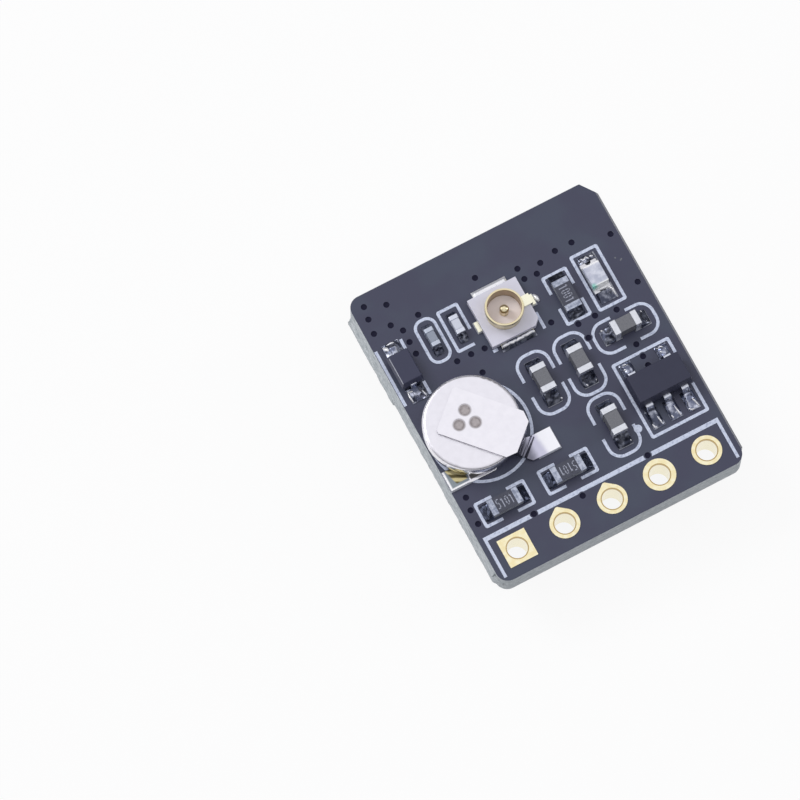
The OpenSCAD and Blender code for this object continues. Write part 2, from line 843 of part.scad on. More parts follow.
// Thin fillets at the socket's feet and tails
module socket_joints() {
    for (turn = [-90, 90])
        rotate([0, 0, turn])
            translate([socket_side / 2 + ground_reach, 0, 0])
                fillet(2 * land_margin, socket_sheet, ground_width);
    translate([socket_side / 2 + strap_reach, 0, 0])
        fillet(land_margin, socket_sheet, tail_width);
    rotate([0, 0, 180])
        translate([socket_side / 2 + tail_reach, 0, 0])
            fillet(land_margin, socket_sheet, tail_width);
}

// Solder that fills an edge notch and spreads over its land
module contact_joint() {
    climb = fillet_climb * receiver_thickness;
    fillet(fillet_run, climb, notch_diameter);
    intersection() {
        cylinder(d = notch_diameter, h = climb);
        translate([-notch_diameter, -notch_diameter, 0])
            cube([notch_diameter, 2 * notch_diameter, climb]);
    }
}

// Ink on the top face, kept clear of copper and holes
module board_print() {
    color([0.82, 0.83, 0.93])
        translate([0, 0, top])
            linear_extrude(ink_thickness)
                difference() {
                    ink_marks();
                    ink_keepout();
                }
}

// Lands and holes that the ink leaves bare
module ink_keepout() {
    via_holes(via_drill + 2 * ink_clear);
    top_lands();
    for (i = [0:header_count - 1])
        translate([header_x[i], header_y])
            circle(d = header_ground + 2 * ink_clear);
}

module ink_marks() {
    for (at = capacitors)
        spot(at)
            capacitor_frame(capacitor_length, capacitor_width);
    for (at = resistors)
        spot(at)
            resistor_frame(chip_length, chip_width);
    spot(rf_capacitor_at)
        outline(small_length + 2 * frame_end + 0.35, small_width + 2 * frame_side + 0.15, 0.5);
    spot(rf_inductor_at)
        difference() {
            outline(small_length + 2 * frame_end + 0.25, small_width + 2 * frame_side + 0.15, 0.12);
            translate([-small_length / 2 - frame_end, -small_width / 2 - frame_side])
                square([corner_break, 0.3], center = true);
        }
    spot(led_at)
        outline(led_length + 2 * frame_end + 0.4, led_width + 2 * frame_side + 0.1, 0.12);
    spot(regulator_at)
        regulator_frame();
    spot(diode_at)
        diode_marks();
    spot(socket_at)
        socket_marks();
    spot(cell_at)
        cell_circle();
    header_frame();
}

// Frame around the regulator, open at its far end, with a dot at the first lead
module regulator_frame() {
    long = regulator_length + 0.2;
    wide = regulator_span + 2 * fillet_short + 0.78;
    translate([0, -0.07])
        difference() {
            outline(long, wide, 0.12);
            translate([long / 2, 0.3])
                square([1, regulator_width], center = true);
        }
    translate([-long / 2 - 0.35, -regulator_span / 2 + 0.1])
        circle(d = ink_dot);
}

// One long line beside the diode and two short ones on its other side
module diode_marks() {
    long = diode_span + 2 * fillet_short;
    translate([-long / 2, diode_line - ink_line / 2])
        square([long, ink_line]);
    for (side = [-1, 1])
        translate([side * (long / 2 - 0.35), -diode_ticks])
            square([0.7, ink_line], center = true);
}

// Short marks beside the socket
module socket_marks() {
    reach = socket_side / 2 + 0.02;
    translate([reach, -reach - 0.2])
        square([ink_line, 0.9]);
    translate([-reach, -reach - ink_line])
        square([0.25, ink_line]);
}

// Circle that marks the cell's place, a little off the cell as it was soldered
module cell_circle() {
    translate([circle_x, circle_y])
        difference() {
            circle(d = ink_circle);
            circle(d = ink_circle - 2 * ink_line);
        }
}

// Frame of the header: a heavy line above the holes and a leg at each end
module header_frame() {
    long = header_pitch * header_count - 0.1;
    rise = header_y + header_ground / 2 + 0.17;
    drop = rise - header_y + 1;
    translate([-long / 2, rise])
        square([long, ink_heavy]);
    for (side = [-1, 1])
        translate([side * (long / 2 - ink_line / 2), rise - drop / 2 + 0.05])
            square([ink_line, drop + 0.1], center = true);
}

// Moulded block of the socket, formed around its metal
module antenna_base() {
    color([0.85, 0.82, 0.88])
        place(socket_at, seat)
            difference() {
                linear_extrude(socket_base)
                    base_outline();
                shell_metal();
                pin_metal();
            }
}

// Ring with its snap bead, the two ground feet and the tail on the right
module antenna_shell() {
    color([0.83, 0.76, 0.53])
        place(socket_at, seat)
            shell_metal();
}

// The base's outline, with the corner cut off that shows which way round the socket sits
module base_outline() {
    side = socket_side / 2;
    polygon([
        [-side, -side], [side - base_cut, -side], [side, -side + base_cut], [side, side], [-side, side]
    ]);
}

module shell_metal() {
    difference() {
        union() {
            rotate_extrude()
                ring_profile();
            block(ground_width, socket_side + 2 * ground_reach, socket_sheet);
            shell_tail();
        }
        translate([0, 0, -over])
            cylinder(d = contact_diameter + 2 * socket_sheet + 2 * signal_gap, h = socket_base + over);
        translate([-socket_side, -tail_width / 2 - signal_gap, -over])
            cube([socket_side, tail_width + 2 * signal_gap, socket_sheet + signal_gap + over]);
    }
}

module ring_profile() {
    outer = ring_outer / 2;
    inner = ring_inner / 2;
    waist = outer - ring_groove;
    rim = socket_height - land_thickness;
    bead = (rim - socket_base) / 2;
    polygon([
        [inner, 0], [waist, 0], [waist, rim - bead],
        [outer, rim - 0.6 * bead], [outer, rim - 0.3 * bead],
        [outer - 0.2 * ring_wall, rim], [inner + 0.1 * ring_wall, rim], [inner, rim - 0.1 * bead]
    ]);
}

// Strip over the base, folded down its side to a small foot
module shell_tail() {
    side = socket_side / 2;
    start = ring_outer / 2 - ring_groove - ring_wall / 2;
    drawn(tail_width)
        polygon([
            [start, socket_base], [side, socket_base], [side, 0], [side + strap_reach, 0],
            [side + strap_reach, socket_sheet], [side + socket_sheet, socket_sheet],
            [side + socket_sheet, socket_base + socket_sheet], [start, socket_base + socket_sheet]
        ]);
}

// Centre contact with its tail
module antenna_pin() {
    color([0.83, 0.76, 0.53])
        place(socket_at, seat)
            pin_metal();
}

module pin_metal() {
    tip = contact_height - land_thickness;
    radius = contact_diameter / 2;
    rotate_extrude()
        polygon([
            [0, 0], [radius + socket_sheet, 0], [radius + socket_sheet, socket_sheet],
            [radius, socket_sheet], [radius, tip - 0.6 * radius],
            [0.75 * radius, tip - 0.2 * radius], [0.4 * radius, tip], [0, tip]
        ]);
    translate([-socket_side / 2 - tail_reach, -tail_width / 2, 0])
        cube([socket_side / 2 + tail_reach, tail_width, socket_sheet]);
}

// Sealed coin cell with a drawn upper edge and a groove for its seal
module battery_cell() {
    color([0.9, 0.9, 0.92])
        place(cell_at, cell_floor)
            difference() {
                rotate_extrude()
                    cell_profile();
                seal();
            }
}

// Half of the cell's section: crimped below, drawn edge above
module cell_profile() {
    radius = cell_diameter / 2;
    rise = cell_crimp_share * cell_height;
    shoulder = cell_height - cell_edge;
    polygon([
        [0, 0], [radius - cell_crimp, 0], [radius - 0.4 * cell_crimp, 0.16 * rise],
        [radius - 0.12 * cell_crimp, 0.48 * rise], [radius, rise], [radius, shoulder],
        [radius - cell_edge, shoulder], [radius - cell_edge, cell_height], [0, cell_height]
    ]);
    translate([radius - cell_edge, shoulder])
        circle(cell_edge);
}

// Seal ring between the two halves of the cell
module battery_gasket() {
    color([0.2, 0.2, 0.2])
        place(cell_at, cell_floor)
            seal();
}

module seal() {
    outer = cell_diameter / 2 - cell_crimp - seal_inset;
    rotate_extrude()
        translate([outer - seal_width, 0])
            square([seal_width, seal_depth]);
}

// Welded top tab: a plate across the cell, a leg beside it and a foot on the board
module battery_top_tab() {
    color([0.92, 0.92, 0.94])
        place(cell_at, 0)
            difference() {
                union() {
                    rotate([0, 0, -tab_turn])
                        translate([0, tab_offset, 0]) {
                            translate([0, 0, cell_top])
                                linear_extrude(tab_thickness)
                                    tab_plate();
                            translate([leg_inner, -leg_width / 2, seat])
                                cube([tab_thickness, leg_width, cell_top + tab_thickness - seat]);
                        }
                    translate([0, 0, seat])
                        linear_extrude(tab_thickness)
                            tab_foot();
                    foot_bend();
                }
                weld_marks();
            }
}

// Plate with a cut at each corner
module tab_plate() {
    half = tab_width / 2;
    polygon([
        [-tab_behind + tab_free_corner, -half], [leg_outer - tab_corner, -half],
        [leg_outer, -half + tab_corner], [leg_outer, half - tab_corner],
        [leg_outer - tab_corner, half], [-tab_behind + tab_free_corner, half],
        [-tab_behind, half - tab_free_corner], [-tab_behind, -half + tab_free_corner]
    ]);
}

// Foot that turns from the leg to point along the width
module tab_foot() {
    intersection() {
        translate([0, -foot_drop - foot_width / 2])
            square([foot_end, foot_width]);
        rotate(-tab_turn)
            translate([leg_inner, tab_offset - leg_width / 2])
                square([cell_diameter, cell_diameter]);
    }
}

// The metal that fills the inside of the bend, over the foot's own width
module foot_bend() {
    intersection() {
        rotate([0, 0, -tab_turn])
            translate([leg_outer, tab_offset, seat + tab_thickness])
                difference() {
                    translate([0, -leg_width / 2, 0])
                        cube([tab_bend, leg_width, tab_bend]);
                    translate([tab_bend, 0, tab_bend])
                        rotate([90, 0, 0])
                            cylinder(r = tab_bend, h = 2 * leg_width, center = true);
                }
        translate([0, 0, seat])
            linear_extrude(tab_thickness + tab_bend)
                tab_foot();
    }
}

// Three shallow spots where the plate is welded to the cell
module weld_marks() {
    rotate([0, 0, -tab_turn])
        translate([-weld_behind, weld_aside, cell_top + tab_thickness - weld_depth])
            for (turn = [0, 120, 240])
                rotate([0, 0, turn])
                    translate([weld_circle / 2, 0, 0])
                        cylinder(d = weld_diameter, h = weld_depth + over);
}

// Bottom tab: a strip under the cell with a foot at its side
module battery_bottom_tab() {
    color([0.86, 0.84, 0.78])
        place(cell_at, seat)
            linear_extrude(tab_thickness)
                union() {
                    translate([-cell_diameter / 2 + strip_foot / 2 + 0.1, -strip_reach + strip_foot / 2])
                        square(strip_foot, center = true);
                    translate([-cell_diameter / 2 + strip_foot, -strip_reach])
                        strip_plate();
                }
}

module strip_plate() {
    far = strip_reach + strip_width / 2;
    polygon([
        [0, 0], [0.2, -strip_lip], [strip_width - tab_corner / 2, -strip_lip],
        [strip_width, tab_corner / 2 - strip_lip], [strip_width, far], [0, far]
    ]);
}

// Five leads of the regulator: three in front, two behind
module regulator_metal() {
    for (x = front_leads)
        translate([x, 0, 0])
            rotate([0, 0, -90])
                gull_lead(regulator_width / 2, regulator_span / 2, regulator_lead);
    for (x = back_leads)
        translate([x, 0, 0])
            rotate([0, 0, 90])
                gull_lead(regulator_width / 2, regulator_span / 2, regulator_lead);
}

module regulator_body() {
    color([0.26, 0.26, 0.31])
        place(regulator_body_at, seat)
            difference() {
                moulding(regulator_length, regulator_width, regulator_height);
                regulator_metal();
            }
}

module regulator_leads() {
    color([0.75, 0.75, 0.77])
        place(regulator_body_at, seat)
            regulator_metal();
}

module diode_metal() {
    both_ends()
        gull_lead(diode_length / 2, diode_span / 2, diode_lead);
}

module diode_body() {
    color([0.25, 0.26, 0.31])
        place(diode_at, seat)
            difference() {
                moulding(diode_length, diode_width, diode_height);
                diode_metal();
            }
}

module diode_leads() {
    color([0.75, 0.75, 0.77])
        place(diode_at, seat)
            diode_metal();
}

// Laminate base of the LED
module led_base() {
    color([0.9, 0.89, 0.86])
        place(led_body_at, seat)
            difference() {
                wrapped_core(led_length, led_width, led_base_height);
                led_notches();
            }
}

module led_terminals() {
    color([0.8, 0.8, 0.8])
        place(led_body_at, seat)
            difference() {
                end_wraps(led_length, led_width, led_base_height, (led_length - led_lens_length) / 2);
                led_notches();
            }
}

// Half-round notches that are left of the holes between neighbours on the LED's own panel
module led_notches() {
    both_ends()
        translate([led_length / 2, 0, -over])
            cylinder(d = led_notch, h = led_base_height + 2 * over);
}

// Cast lens with sloped ends, closed around the die and its wire
module led_lens() {
    color([0.92, 0.88, 0.9])
        place(led_body_at, seat + led_base_height - end_metal)
            difference() {
                drawn(led_width)
                    polygon([
                        [-led_lens_length / 2, 0], [led_lens_length / 2, 0],
                        [led_lens_length / 2, end_metal],
                        [led_lens_length / 2 - led_lens_draft, led_height - led_base_height + end_metal],
                        [-led_lens_length / 2 + led_lens_draft, led_height - led_base_height + end_metal],
                        [-led_lens_length / 2, end_metal]
                    ]);
                die_block();
                wire_bar();
            }
}

module led_die() {
    color([0.85, 0.85, 0.6])
        place(led_body_at, seat + led_base_height - end_metal)
            die_block();
}

module die_block() {
    translate([-led_die_side / 2, 0, 0])
        block(led_die_side, led_die_side, led_die_height);
}

// Bond wire from the die to the base beside the far terminal
module led_wire() {
    color([0.85, 0.7, 0.3])
        place(led_body_at, seat + led_base_height - end_metal)
            wire_bar();
}

module wire_bar() {
    far = led_lens_length / 2 - 2 * led_lens_draft - led_wire_diameter;
    level = led_die_height + 0.06;
    start = -led_die_side / 2;
    translate([start, 0, led_die_height])
        cylinder(d = led_wire_diameter, h = level - led_die_height);
    translate([start, 0, level])
        rotate([0, 90, 0])
            cylinder(d = led_wire_diameter, h = far - start);
    translate([far, 0, 0])
        cylinder(d = led_wire_diameter, h = level);
    for (x = [start, far])
        translate([x, 0, level])
            sphere(d = led_wire_diameter);
}

// Body and ends of a larger capacitor
module capacitor_block(at) {
    color([0.45, 0.43, 0.4])
        place(at, seat)
            ceramic(capacitor_length, capacitor_width, capacitor_height);
}

module capacitor_cups(at) {
    color([0.87, 0.84, 0.85])
        place(at, seat)
            end_cups(capacitor_length, capacitor_width, capacitor_height, chip_band);
}

module capacitor_1_body() {
    capacitor_block(capacitor_bodies[0]);
}

module capacitor_1_ends() {
    capacitor_cups(capacitor_bodies[0]);
}

module capacitor_2_body() {
    capacitor_block(capacitor_bodies[1]);
}

module capacitor_2_ends() {
    capacitor_cups(capacitor_bodies[1]);
}

module capacitor_3_body() {
    capacitor_block(capacitor_bodies[2]);
}

module capacitor_3_ends() {
    capacitor_cups(capacitor_bodies[2]);
}

module capacitor_4_body() {
    capacitor_block(capacitor_bodies[3]);
}

module capacitor_4_ends() {
    capacitor_cups(capacitor_bodies[3]);
}

// Small parts between the socket and the receiver
module rf_capacitor_body() {
    color([0.68, 0.7, 0.71])
        place(rf_capacitor_body_at, seat)
            ceramic(small_length, small_width, small_height);
}

module rf_capacitor_ends() {
    color([0.8, 0.8, 0.82])
        place(rf_capacitor_body_at, seat)
            end_cups(small_length, small_width, small_height, small_band);
}

module rf_inductor_body() {
    color([0.86, 0.87, 0.89])
        place(rf_inductor_body_at, seat)
            ceramic(small_length, small_width, small_height);
}

module rf_inductor_ends() {
    color([0.8, 0.8, 0.82])
        place(rf_inductor_body_at, seat)
            end_cups(small_length, small_width, small_height, small_band);
}

// Core, coat and ends of a resistor
module resistor_core(at) {
    color([0.88, 0.88, 0.86])
        place(at, seat)
            wrapped_core(chip_length, chip_width, resistor_height);
}

module resistor_coat(at) {
    color([0.12, 0.13, 0.15])
        place(at, seat + resistor_height - end_metal)
            block(chip_length - 2 * chip_band, chip_width, coat_thickness);
}

module resistor_wraps(at) {
    color([0.8, 0.8, 0.82])
        place(at, seat)
            end_wraps(chip_length, chip_width, resistor_height, chip_band);
}

module resistor_1_body() {
    resistor_core(resistors[0]);
}

module resistor_1_coat() {
    resistor_coat(resistors[0]);
}

module resistor_1_ends() {
    resistor_wraps(resistors[0]);
}

module resistor_2_body() {
    resistor_core(resistors[1]);
}

module resistor_2_coat() {
    resistor_coat(resistors[1]);
}

module resistor_2_ends() {
    resistor_wraps(resistors[1]);
}

module resistor_3_body() {
    resistor_core(resistors[2]);
}

module resistor_3_coat() {
    resistor_coat(resistors[2]);
}

module resistor_3_ends() {
    resistor_wraps(resistors[2]);
}

// Edge notches of the receiver's board, at a given diameter
module notches(diameter) {
    for (side = [-1, 1], x = contact_x)
        translate([x, side * receiver_width / 2])
            circle(d = diameter);
}

// The receiver's own board with half-round notches along two sides
module receiver_board() {
    color([0.2, 0.3, 0.25])
        translate([0, receiver_y, can_rim])
            linear_extrude(receiver_thickness)
                difference() {
                    square([receiver_length, receiver_width], center = true);
                    notches(notch_diameter + 2 * notch_wall);
                }
}

// Metal in each notch and the land that meets the main board
module receiver_contacts() {
    color([0.85, 0.78, 0.55])
        translate([0, receiver_y, can_rim]) {
            linear_extrude(receiver_thickness)
                difference() {
                    intersection() {
                        notches(notch_diameter + 2 * notch_wall);
                        square([receiver_length, receiver_width], center = true);
                    }
                    notches(notch_diameter);
                }
            translate([0, 0, receiver_thickness])
                linear_extrude(land_thickness)
                    difference() {
                        for (side = [-1, 1], x = contact_x)
                            translate([x, side * (receiver_width - contact_land) / 2])
                                square([contact_width, contact_land], center = true);
                        notches(notch_diameter);
                    }
        }
}

// Drawn sheet can, its closed face down
module receiver_can() {
    color([0.78, 0.79, 0.8])
        translate([0, receiver_y, 0])
            difference() {
                linear_extrude(can_rim)
                    rounded(can_length, can_width, can_corner);
                translate([0, 0, can_wall])
                    linear_extrude(can_rim)
                        rounded(can_length - 2 * can_wall, can_width - 2 * can_wall, can_corner - can_wall);
            }
}

// Hangs a package from the receiver's board, inside the can
module hung(x, y, length, width, height) {
    translate([x, receiver_y + y, can_rim - height])
        block(length, width, height);
}

module receiver_chip() {
    color([0.15, 0.15, 0.16])
        hung(receiver_chip_x, receiver_chip_y, receiver_chip_side, receiver_chip_side, receiver_chip_height);
}

module receiver_oscillator() {
    color([0.75, 0.73, 0.66])
        hung(oscillator_x, oscillator_y, oscillator_length, oscillator_width, oscillator_height);
}

module receiver_filter() {
    color([0.75, 0.73, 0.66])
        hung(oscillator_x, filter_y, filter_length, filter_width, filter_height);
}

module receiver_amplifier() {
    color([0.15, 0.15, 0.16])
        hung(amplifier_x, amplifier_y, amplifier_side, amplifier_side, amplifier_height);
}

module receiver_crystal() {
    color([0.75, 0.73, 0.66])
        hung(crystal_x, crystal_y, crystal_length, crystal_width, crystal_height);
}

board();
header_pads();
solder_lands();
solder_joints();
board_print();
antenna_base();
antenna_shell();
antenna_pin();
battery_cell();
battery_gasket();
battery_top_tab();
battery_bottom_tab();
regulator_body();
regulator_leads();
diode_body();
diode_leads();
led_base();
led_terminals();
led_lens();
led_die();
led_wire();
capacitor_1_body();
capacitor_1_ends();
capacitor_2_body();
capacitor_2_ends();
capacitor_3_body();
capacitor_3_ends();
capacitor_4_body();
capacitor_4_ends();
rf_capacitor_body();
rf_capacitor_ends();
rf_inductor_body();
rf_inductor_ends();
resistor_1_body();
resistor_1_coat();
resistor_1_ends();
resistor_2_body();
resistor_2_coat();
resistor_2_ends();
resistor_3_body();
resistor_3_coat();
resistor_3_ends();
receiver_board();
receiver_contacts();
receiver_can();
receiver_chip();
receiver_oscillator();
receiver_filter();
receiver_amplifier();
receiver_crystal();
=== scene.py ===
import math

import bmesh
import bpy
from mathutils import Matrix, Vector, noise


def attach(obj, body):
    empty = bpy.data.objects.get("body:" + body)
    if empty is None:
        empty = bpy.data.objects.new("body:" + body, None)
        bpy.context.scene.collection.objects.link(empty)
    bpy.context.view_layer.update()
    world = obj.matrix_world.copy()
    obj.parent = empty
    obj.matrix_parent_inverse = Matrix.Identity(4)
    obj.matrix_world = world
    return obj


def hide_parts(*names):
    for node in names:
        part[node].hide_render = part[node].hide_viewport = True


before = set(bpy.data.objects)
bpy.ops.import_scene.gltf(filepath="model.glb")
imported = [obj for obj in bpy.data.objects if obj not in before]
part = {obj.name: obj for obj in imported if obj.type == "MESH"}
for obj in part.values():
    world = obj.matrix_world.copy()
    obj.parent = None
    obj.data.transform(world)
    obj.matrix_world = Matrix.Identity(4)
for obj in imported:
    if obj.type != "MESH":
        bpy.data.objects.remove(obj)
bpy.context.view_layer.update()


# The bare board is glass cloth in resin under a dark slate mask. It is drilled, printed and then
# snapped out of a larger panel along scored lines, which leaves its sides pale and rough.
# On the right-hand side the mask has run down over the score.
class Shade:
    """One socket of a finish. Sums of sockets and numbers add the Math nodes they stand for."""

    def __init__(self, tree, socket=None):
        self.tree = tree
        self.socket = socket

    def node(self, kind, settings=None, sockets=None, out=0):
        made = self.tree.nodes.new("ShaderNode" + kind)
        for name, value in (settings or {}).items():
            setattr(made, name, value)
        for name, value in (sockets or {}).items():
            if isinstance(value, Shade):
                self.tree.links.new(value.socket, made.inputs[name])
            else:
                made.inputs[name].default_value = value
        return Shade(self.tree, made.outputs[out] if made.outputs else None)

    def math(self, operation, first, second=0.0):
        return self.node("Math", {"operation": operation}, {0: first, 1: second})

    def __add__(self, other):
        return self.math("ADD", self, other)

    __radd__ = __add__

    def __sub__(self, other):
        return self.math("SUBTRACT", self, other)

    def __rsub__(self, other):
        return self.math("SUBTRACT", other, self)

    def __mul__(self, other):
        return self.math("MULTIPLY", self, other)

    __rmul__ = __mul__

    def __gt__(self, other):
        return self.math("GREATER_THAN", self, other)

    def __lt__(self, other):
        return self.math("LESS_THAN", self, other)

    def __abs__(self):
        return self.math("ABSOLUTE", self)


def tone(red, green, blue):
    """A colour as it is seen on a screen, 0 to 255, in the linear light that finishes use."""
    seen = (channel / 255 for channel in (red, green, blue))
    return (*(c / 12.92 if c <= 0.04045 else ((c + 0.055) / 1.055) ** 2.4 for c in seen), 1.0)


def start_finish(name, *pieces):
    """A new empty finish on the pieces, and the place on the piece in millimetres."""
    made = bpy.data.materials.new(name)
    made.use_nodes = True
    made.node_tree.nodes.clear()
    for piece in pieces:
        piece.data.materials.clear()
        piece.data.materials.append(made)
    bare = Shade(made.node_tree)
    place = bare.node("TexCoord", out="Object")
    return bare.node("VectorMath", {"operation": "SCALE"}, {"Vector": place, "Scale": 1000.0})


def end_finish(mm, **sockets):
    """Closes a finish with the shader's sockets: Base_Color=..., Roughness=..."""
    named = {name.replace("_", " "): value for name, value in sockets.items()}
    shader = mm.node("BsdfPrincipled", None, named)
    mm.node("OutputMaterial", None, {"Surface": shader})


def axis(vector, name):
    return vector.node("SeparateXYZ", None, {"Vector": vector}, out=name)


def facing_up(mm):
    """1 on a level face, 0 on an upright one."""
    return abs(axis(mm.node("NewGeometry", out="Normal"), "Z"))


def distance(mm, place):
    """How far a spot is from a place, in millimetres."""
    return mm.node("VectorMath", {"operation": "DISTANCE"}, {0: mm, 1: place}, out="Value")


def mottle(mm, scale, detail=3.0, rough=0.55, stretch=(1, 1, 1)):
    """Cloudy noise from 0 to 1, with so many clouds to a millimetre."""
    moved = mm.node("Mapping", None, {"Vector": mm, "Scale": stretch})
    clouds = {"Vector": moved, "Scale": scale, "Detail": detail, "Roughness": rough}
    return mm.node("TexNoise", None, clouds)


def step(value, low, high):
    """A soft step that is 0 under low and 1 over high."""
    return value.node(
        "MapRange",
        {"interpolation_type": "SMOOTHSTEP"},
        {"Value": value, "From Min": low, "From Max": high, "To Min": 0.0, "To Max": 1.0},
    )


def blend(share, first, second):
    """From the first colour to the second as the share goes from 0 to 1."""
    return share.node("Mix", {"data_type": "RGBA"}, {0: share, 6: first, 7: second}, out=2)


def relief(height, depth_um, strength=1.0):
    """A bump of so many micrometres."""
    bump = {"Strength": strength, "Distance": depth_um * 1e-6, "Height": height}
    return height.node("Bump", None, bump)


board_under, board_top = 2.4, 4.0
right_score, mask_run = 6.5, 3.45
drilled_x, drilled_y = 6.2, 7.4
mm = start_finish("slate_mask_on_laminate", part["board"])
run_over = (axis(mm, "X") > right_score) * (axis(mm, "Z") > mask_run)
masked = mm.math("MAXIMUM", facing_up(mm) > 0.9, run_over)
drilled = (abs(axis(mm, "X")) < drilled_x) * (abs(axis(mm, "Y")) < drilled_y)
cloud = mottle(mm, 0.45, 2.0)
mask_tone = blend(step(cloud, 0.38, 0.66), tone(58, 60, 83), tone(61, 67, 87))
for x, y in ((5.82, 3.8), (6.06, 3.62), (6.0, 3.58)):
    from_scuff = distance(mm, (x, y, board_top)) + mottle(mm, 12.0) * 0.05
    mask_tone = blend(1 - step(from_scuff, 0.04, 0.08), mask_tone, tone(112, 116, 122))
layers = mottle(mm, 1.0, 4.0, 0.7, (2.2, 2.2, 16.0))
fibre = mottle(mm, 5.0, 4.0, 0.7, (1.0, 1.0, 2.2))
broken = step(layers * 0.6 + fibre * 0.4, 0.34, 0.68)
side_tone = blend(broken, tone(160, 168, 172), tone(214, 218, 221))
# Upright walls inside the outline, the walls of drilled holes, are painted dark navy: painted shade inside
# the holes.
side_tone = blend(drilled, side_tone, tone(30, 31, 48))
peel = mottle(mm, 9.0, 2.0)
end_finish(
    mm,
    Base_Color=blend(masked, side_tone, mask_tone),
    Roughness=0.82 - masked * 0.42 + cloud * 0.06,
    Normal=relief(masked * peel * 0.1 + (1 - masked) * (layers + fibre), 14, 0.8),
)


def point(skin, x, y, z):
    """A new point of a skin, given in millimetres."""
    return skin.verts.new(Vector((x, y, z)) / 1000)


def stitch(skin, grid, way=1):
    """Faces over a grid of points, turned over where the way is -1."""
    for first, second in zip(grid, grid[1:]):
        for a, b, c, d in zip(first, first[1:], second[1:], second):
            skin.faces.new((a, d, c, b) if way > 0 else (a, b, c, d))


def piece_from(skin, name, smooth=True):
    """A new piece of the scene, made of a finished skin."""
    mesh = bpy.data.meshes.new(name)
    skin.to_mesh(mesh)
    skin.free()
    for face in mesh.polygons:
        face.use_smooth = smooth
    made = bpy.data.objects.new(name, mesh)
    bpy.context.scene.collection.objects.link(made)
    return made


edge_x, edge_start, edge_run, edge_steps = -6.73, -7.66, 14.76, 190
corner_start, corner_radius = -7.25, 0.6
score_depth, score_fade = 0.18, 0.4
stub_start, stub_reach = 2.55, 0.07
break_profile = (
    (2.7, -0.3), (2.92, 0.0), (3.05, 0.03), (3.2, 0.03), (3.35, 0.03), (3.48, 0.0), (3.7, -0.3),
)
chips_and_fibres = ((0.035, 2.1, 3.0, 1.7), (0.02, 9, 9, 4.2))
broken_side = bmesh.new()
rows = []
for i in range(edge_steps + 1):
    y = edge_start + edge_run * i / edge_steps
    past_corner = min(0.0, y - corner_start)
    round_corner = corner_radius - math.sqrt(max(0.0, corner_radius**2 - past_corner**2))
    kept = min(1.0, (y - edge_start) / score_fade)
    proud = (stub_reach if y > stub_start else 0.0) - round_corner - score_depth * (1 - kept)
    rows.append([])
    for level, out in break_profile:
        ragged = sum(
            size * noise.noise(Vector((y * along, level * upward, seed)))
            for size, along, upward, seed in chips_and_fibres
        )
        rows[-1].append(point(broken_side, edge_x - proud - out - ragged, y, level))
stitch(broken_side, rows, -1)
for end in (rows[0], rows[-1][::-1]):
    broken_side.faces.new(end)
snapped_edge = piece_from(broken_side, "snapped_edge")
snapped_edge.data.materials.append(part["board"].data.materials[0])
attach(snapped_edge, "root")


# The vias join the copper on the two faces of the board. Each is drilled through and plated,
# and the mask runs into it and dries there to a dimple, coloured near black as painted shade.
via_places = (
    (-5.9, 7.25), (-4.9, 6.85), (-6, 6.6), (-6.1, 5.85), (-5.2, 5.85), (-4.8, 5.35),
    (-3.8, 5.7), (-4.8, 4.7), (-4.8, 4.05), (-0.55, 6.05), (-3.25, 2.8), (-2.5, 2.8),
    (-1.8, 2.75), (1.45, 5.5), (1.5, 4.9), (2.15, 4.85), (2.55, 5.25), (3.45, 5.45),
    (4.35, 5.45), (6.2, 4.95), (1.6, 2.4), (6.2, 2.25), (-2.45, 1.75), (2.7, 1.72),
    (3.6, 1.72), (4.65, 1.5), (4.65, -0.45), (4.65, -1.12), (4.65, -1.62), (2.8, 0.9),
    (-6.05, -3.3), (-6.15, -3.95), (-6.15, -4.7), (-3.6, -5.5), (-1.15, -5.8), (2.5, -5.5),
)
dimple_rings, dimple_sides = ((0.16, 0.004), (0.12, 0.03), (0.07, 0.05)), 20
dimples = bmesh.new()
for x, y in via_places:
    for level, way in ((board_top, -1), (board_under, 1)):
        rings = []
        for radius, sunk in dimple_rings:
            rings.append([])
            for k in range(dimple_sides):
                angle = 2 * math.pi * k / dimple_sides
                ring_x, ring_y = x + radius * math.cos(angle), y + radius * math.sin(angle)
                rings[-1].append(point(dimples, ring_x, ring_y, level + way * sunk))
        for outer, inner in zip(rings, rings[1:]):
            for k in range(dimple_sides):
                dimples.faces.new((outer[k], outer[k - 1], inner[k - 1], inner[k]))
        dimples.faces.new(rings[-1])
bmesh.ops.recalc_face_normals(dimples, faces=dimples.faces)
via_fill = piece_from(dimples, "via_fill")
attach(via_fill, "root")


def two_tone(name, pieces, clouds, first, second, **sockets):
    """A plain finish that wanders between two colours."""
    mm = start_finish(name, *pieces)
    end_finish(mm, Base_Color=blend(mottle(mm, clouds), first, second), **sockets)


# The dimples are near black: painted shade in the hollow of each via.
two_tone(
    "via_dimple_painted_shade",
    [via_fill],
    6.0,
    tone(20, 20, 40),
    tone(30, 30, 52),
    Roughness=0.7,
    Specular_IOR_Level=0.15,
)
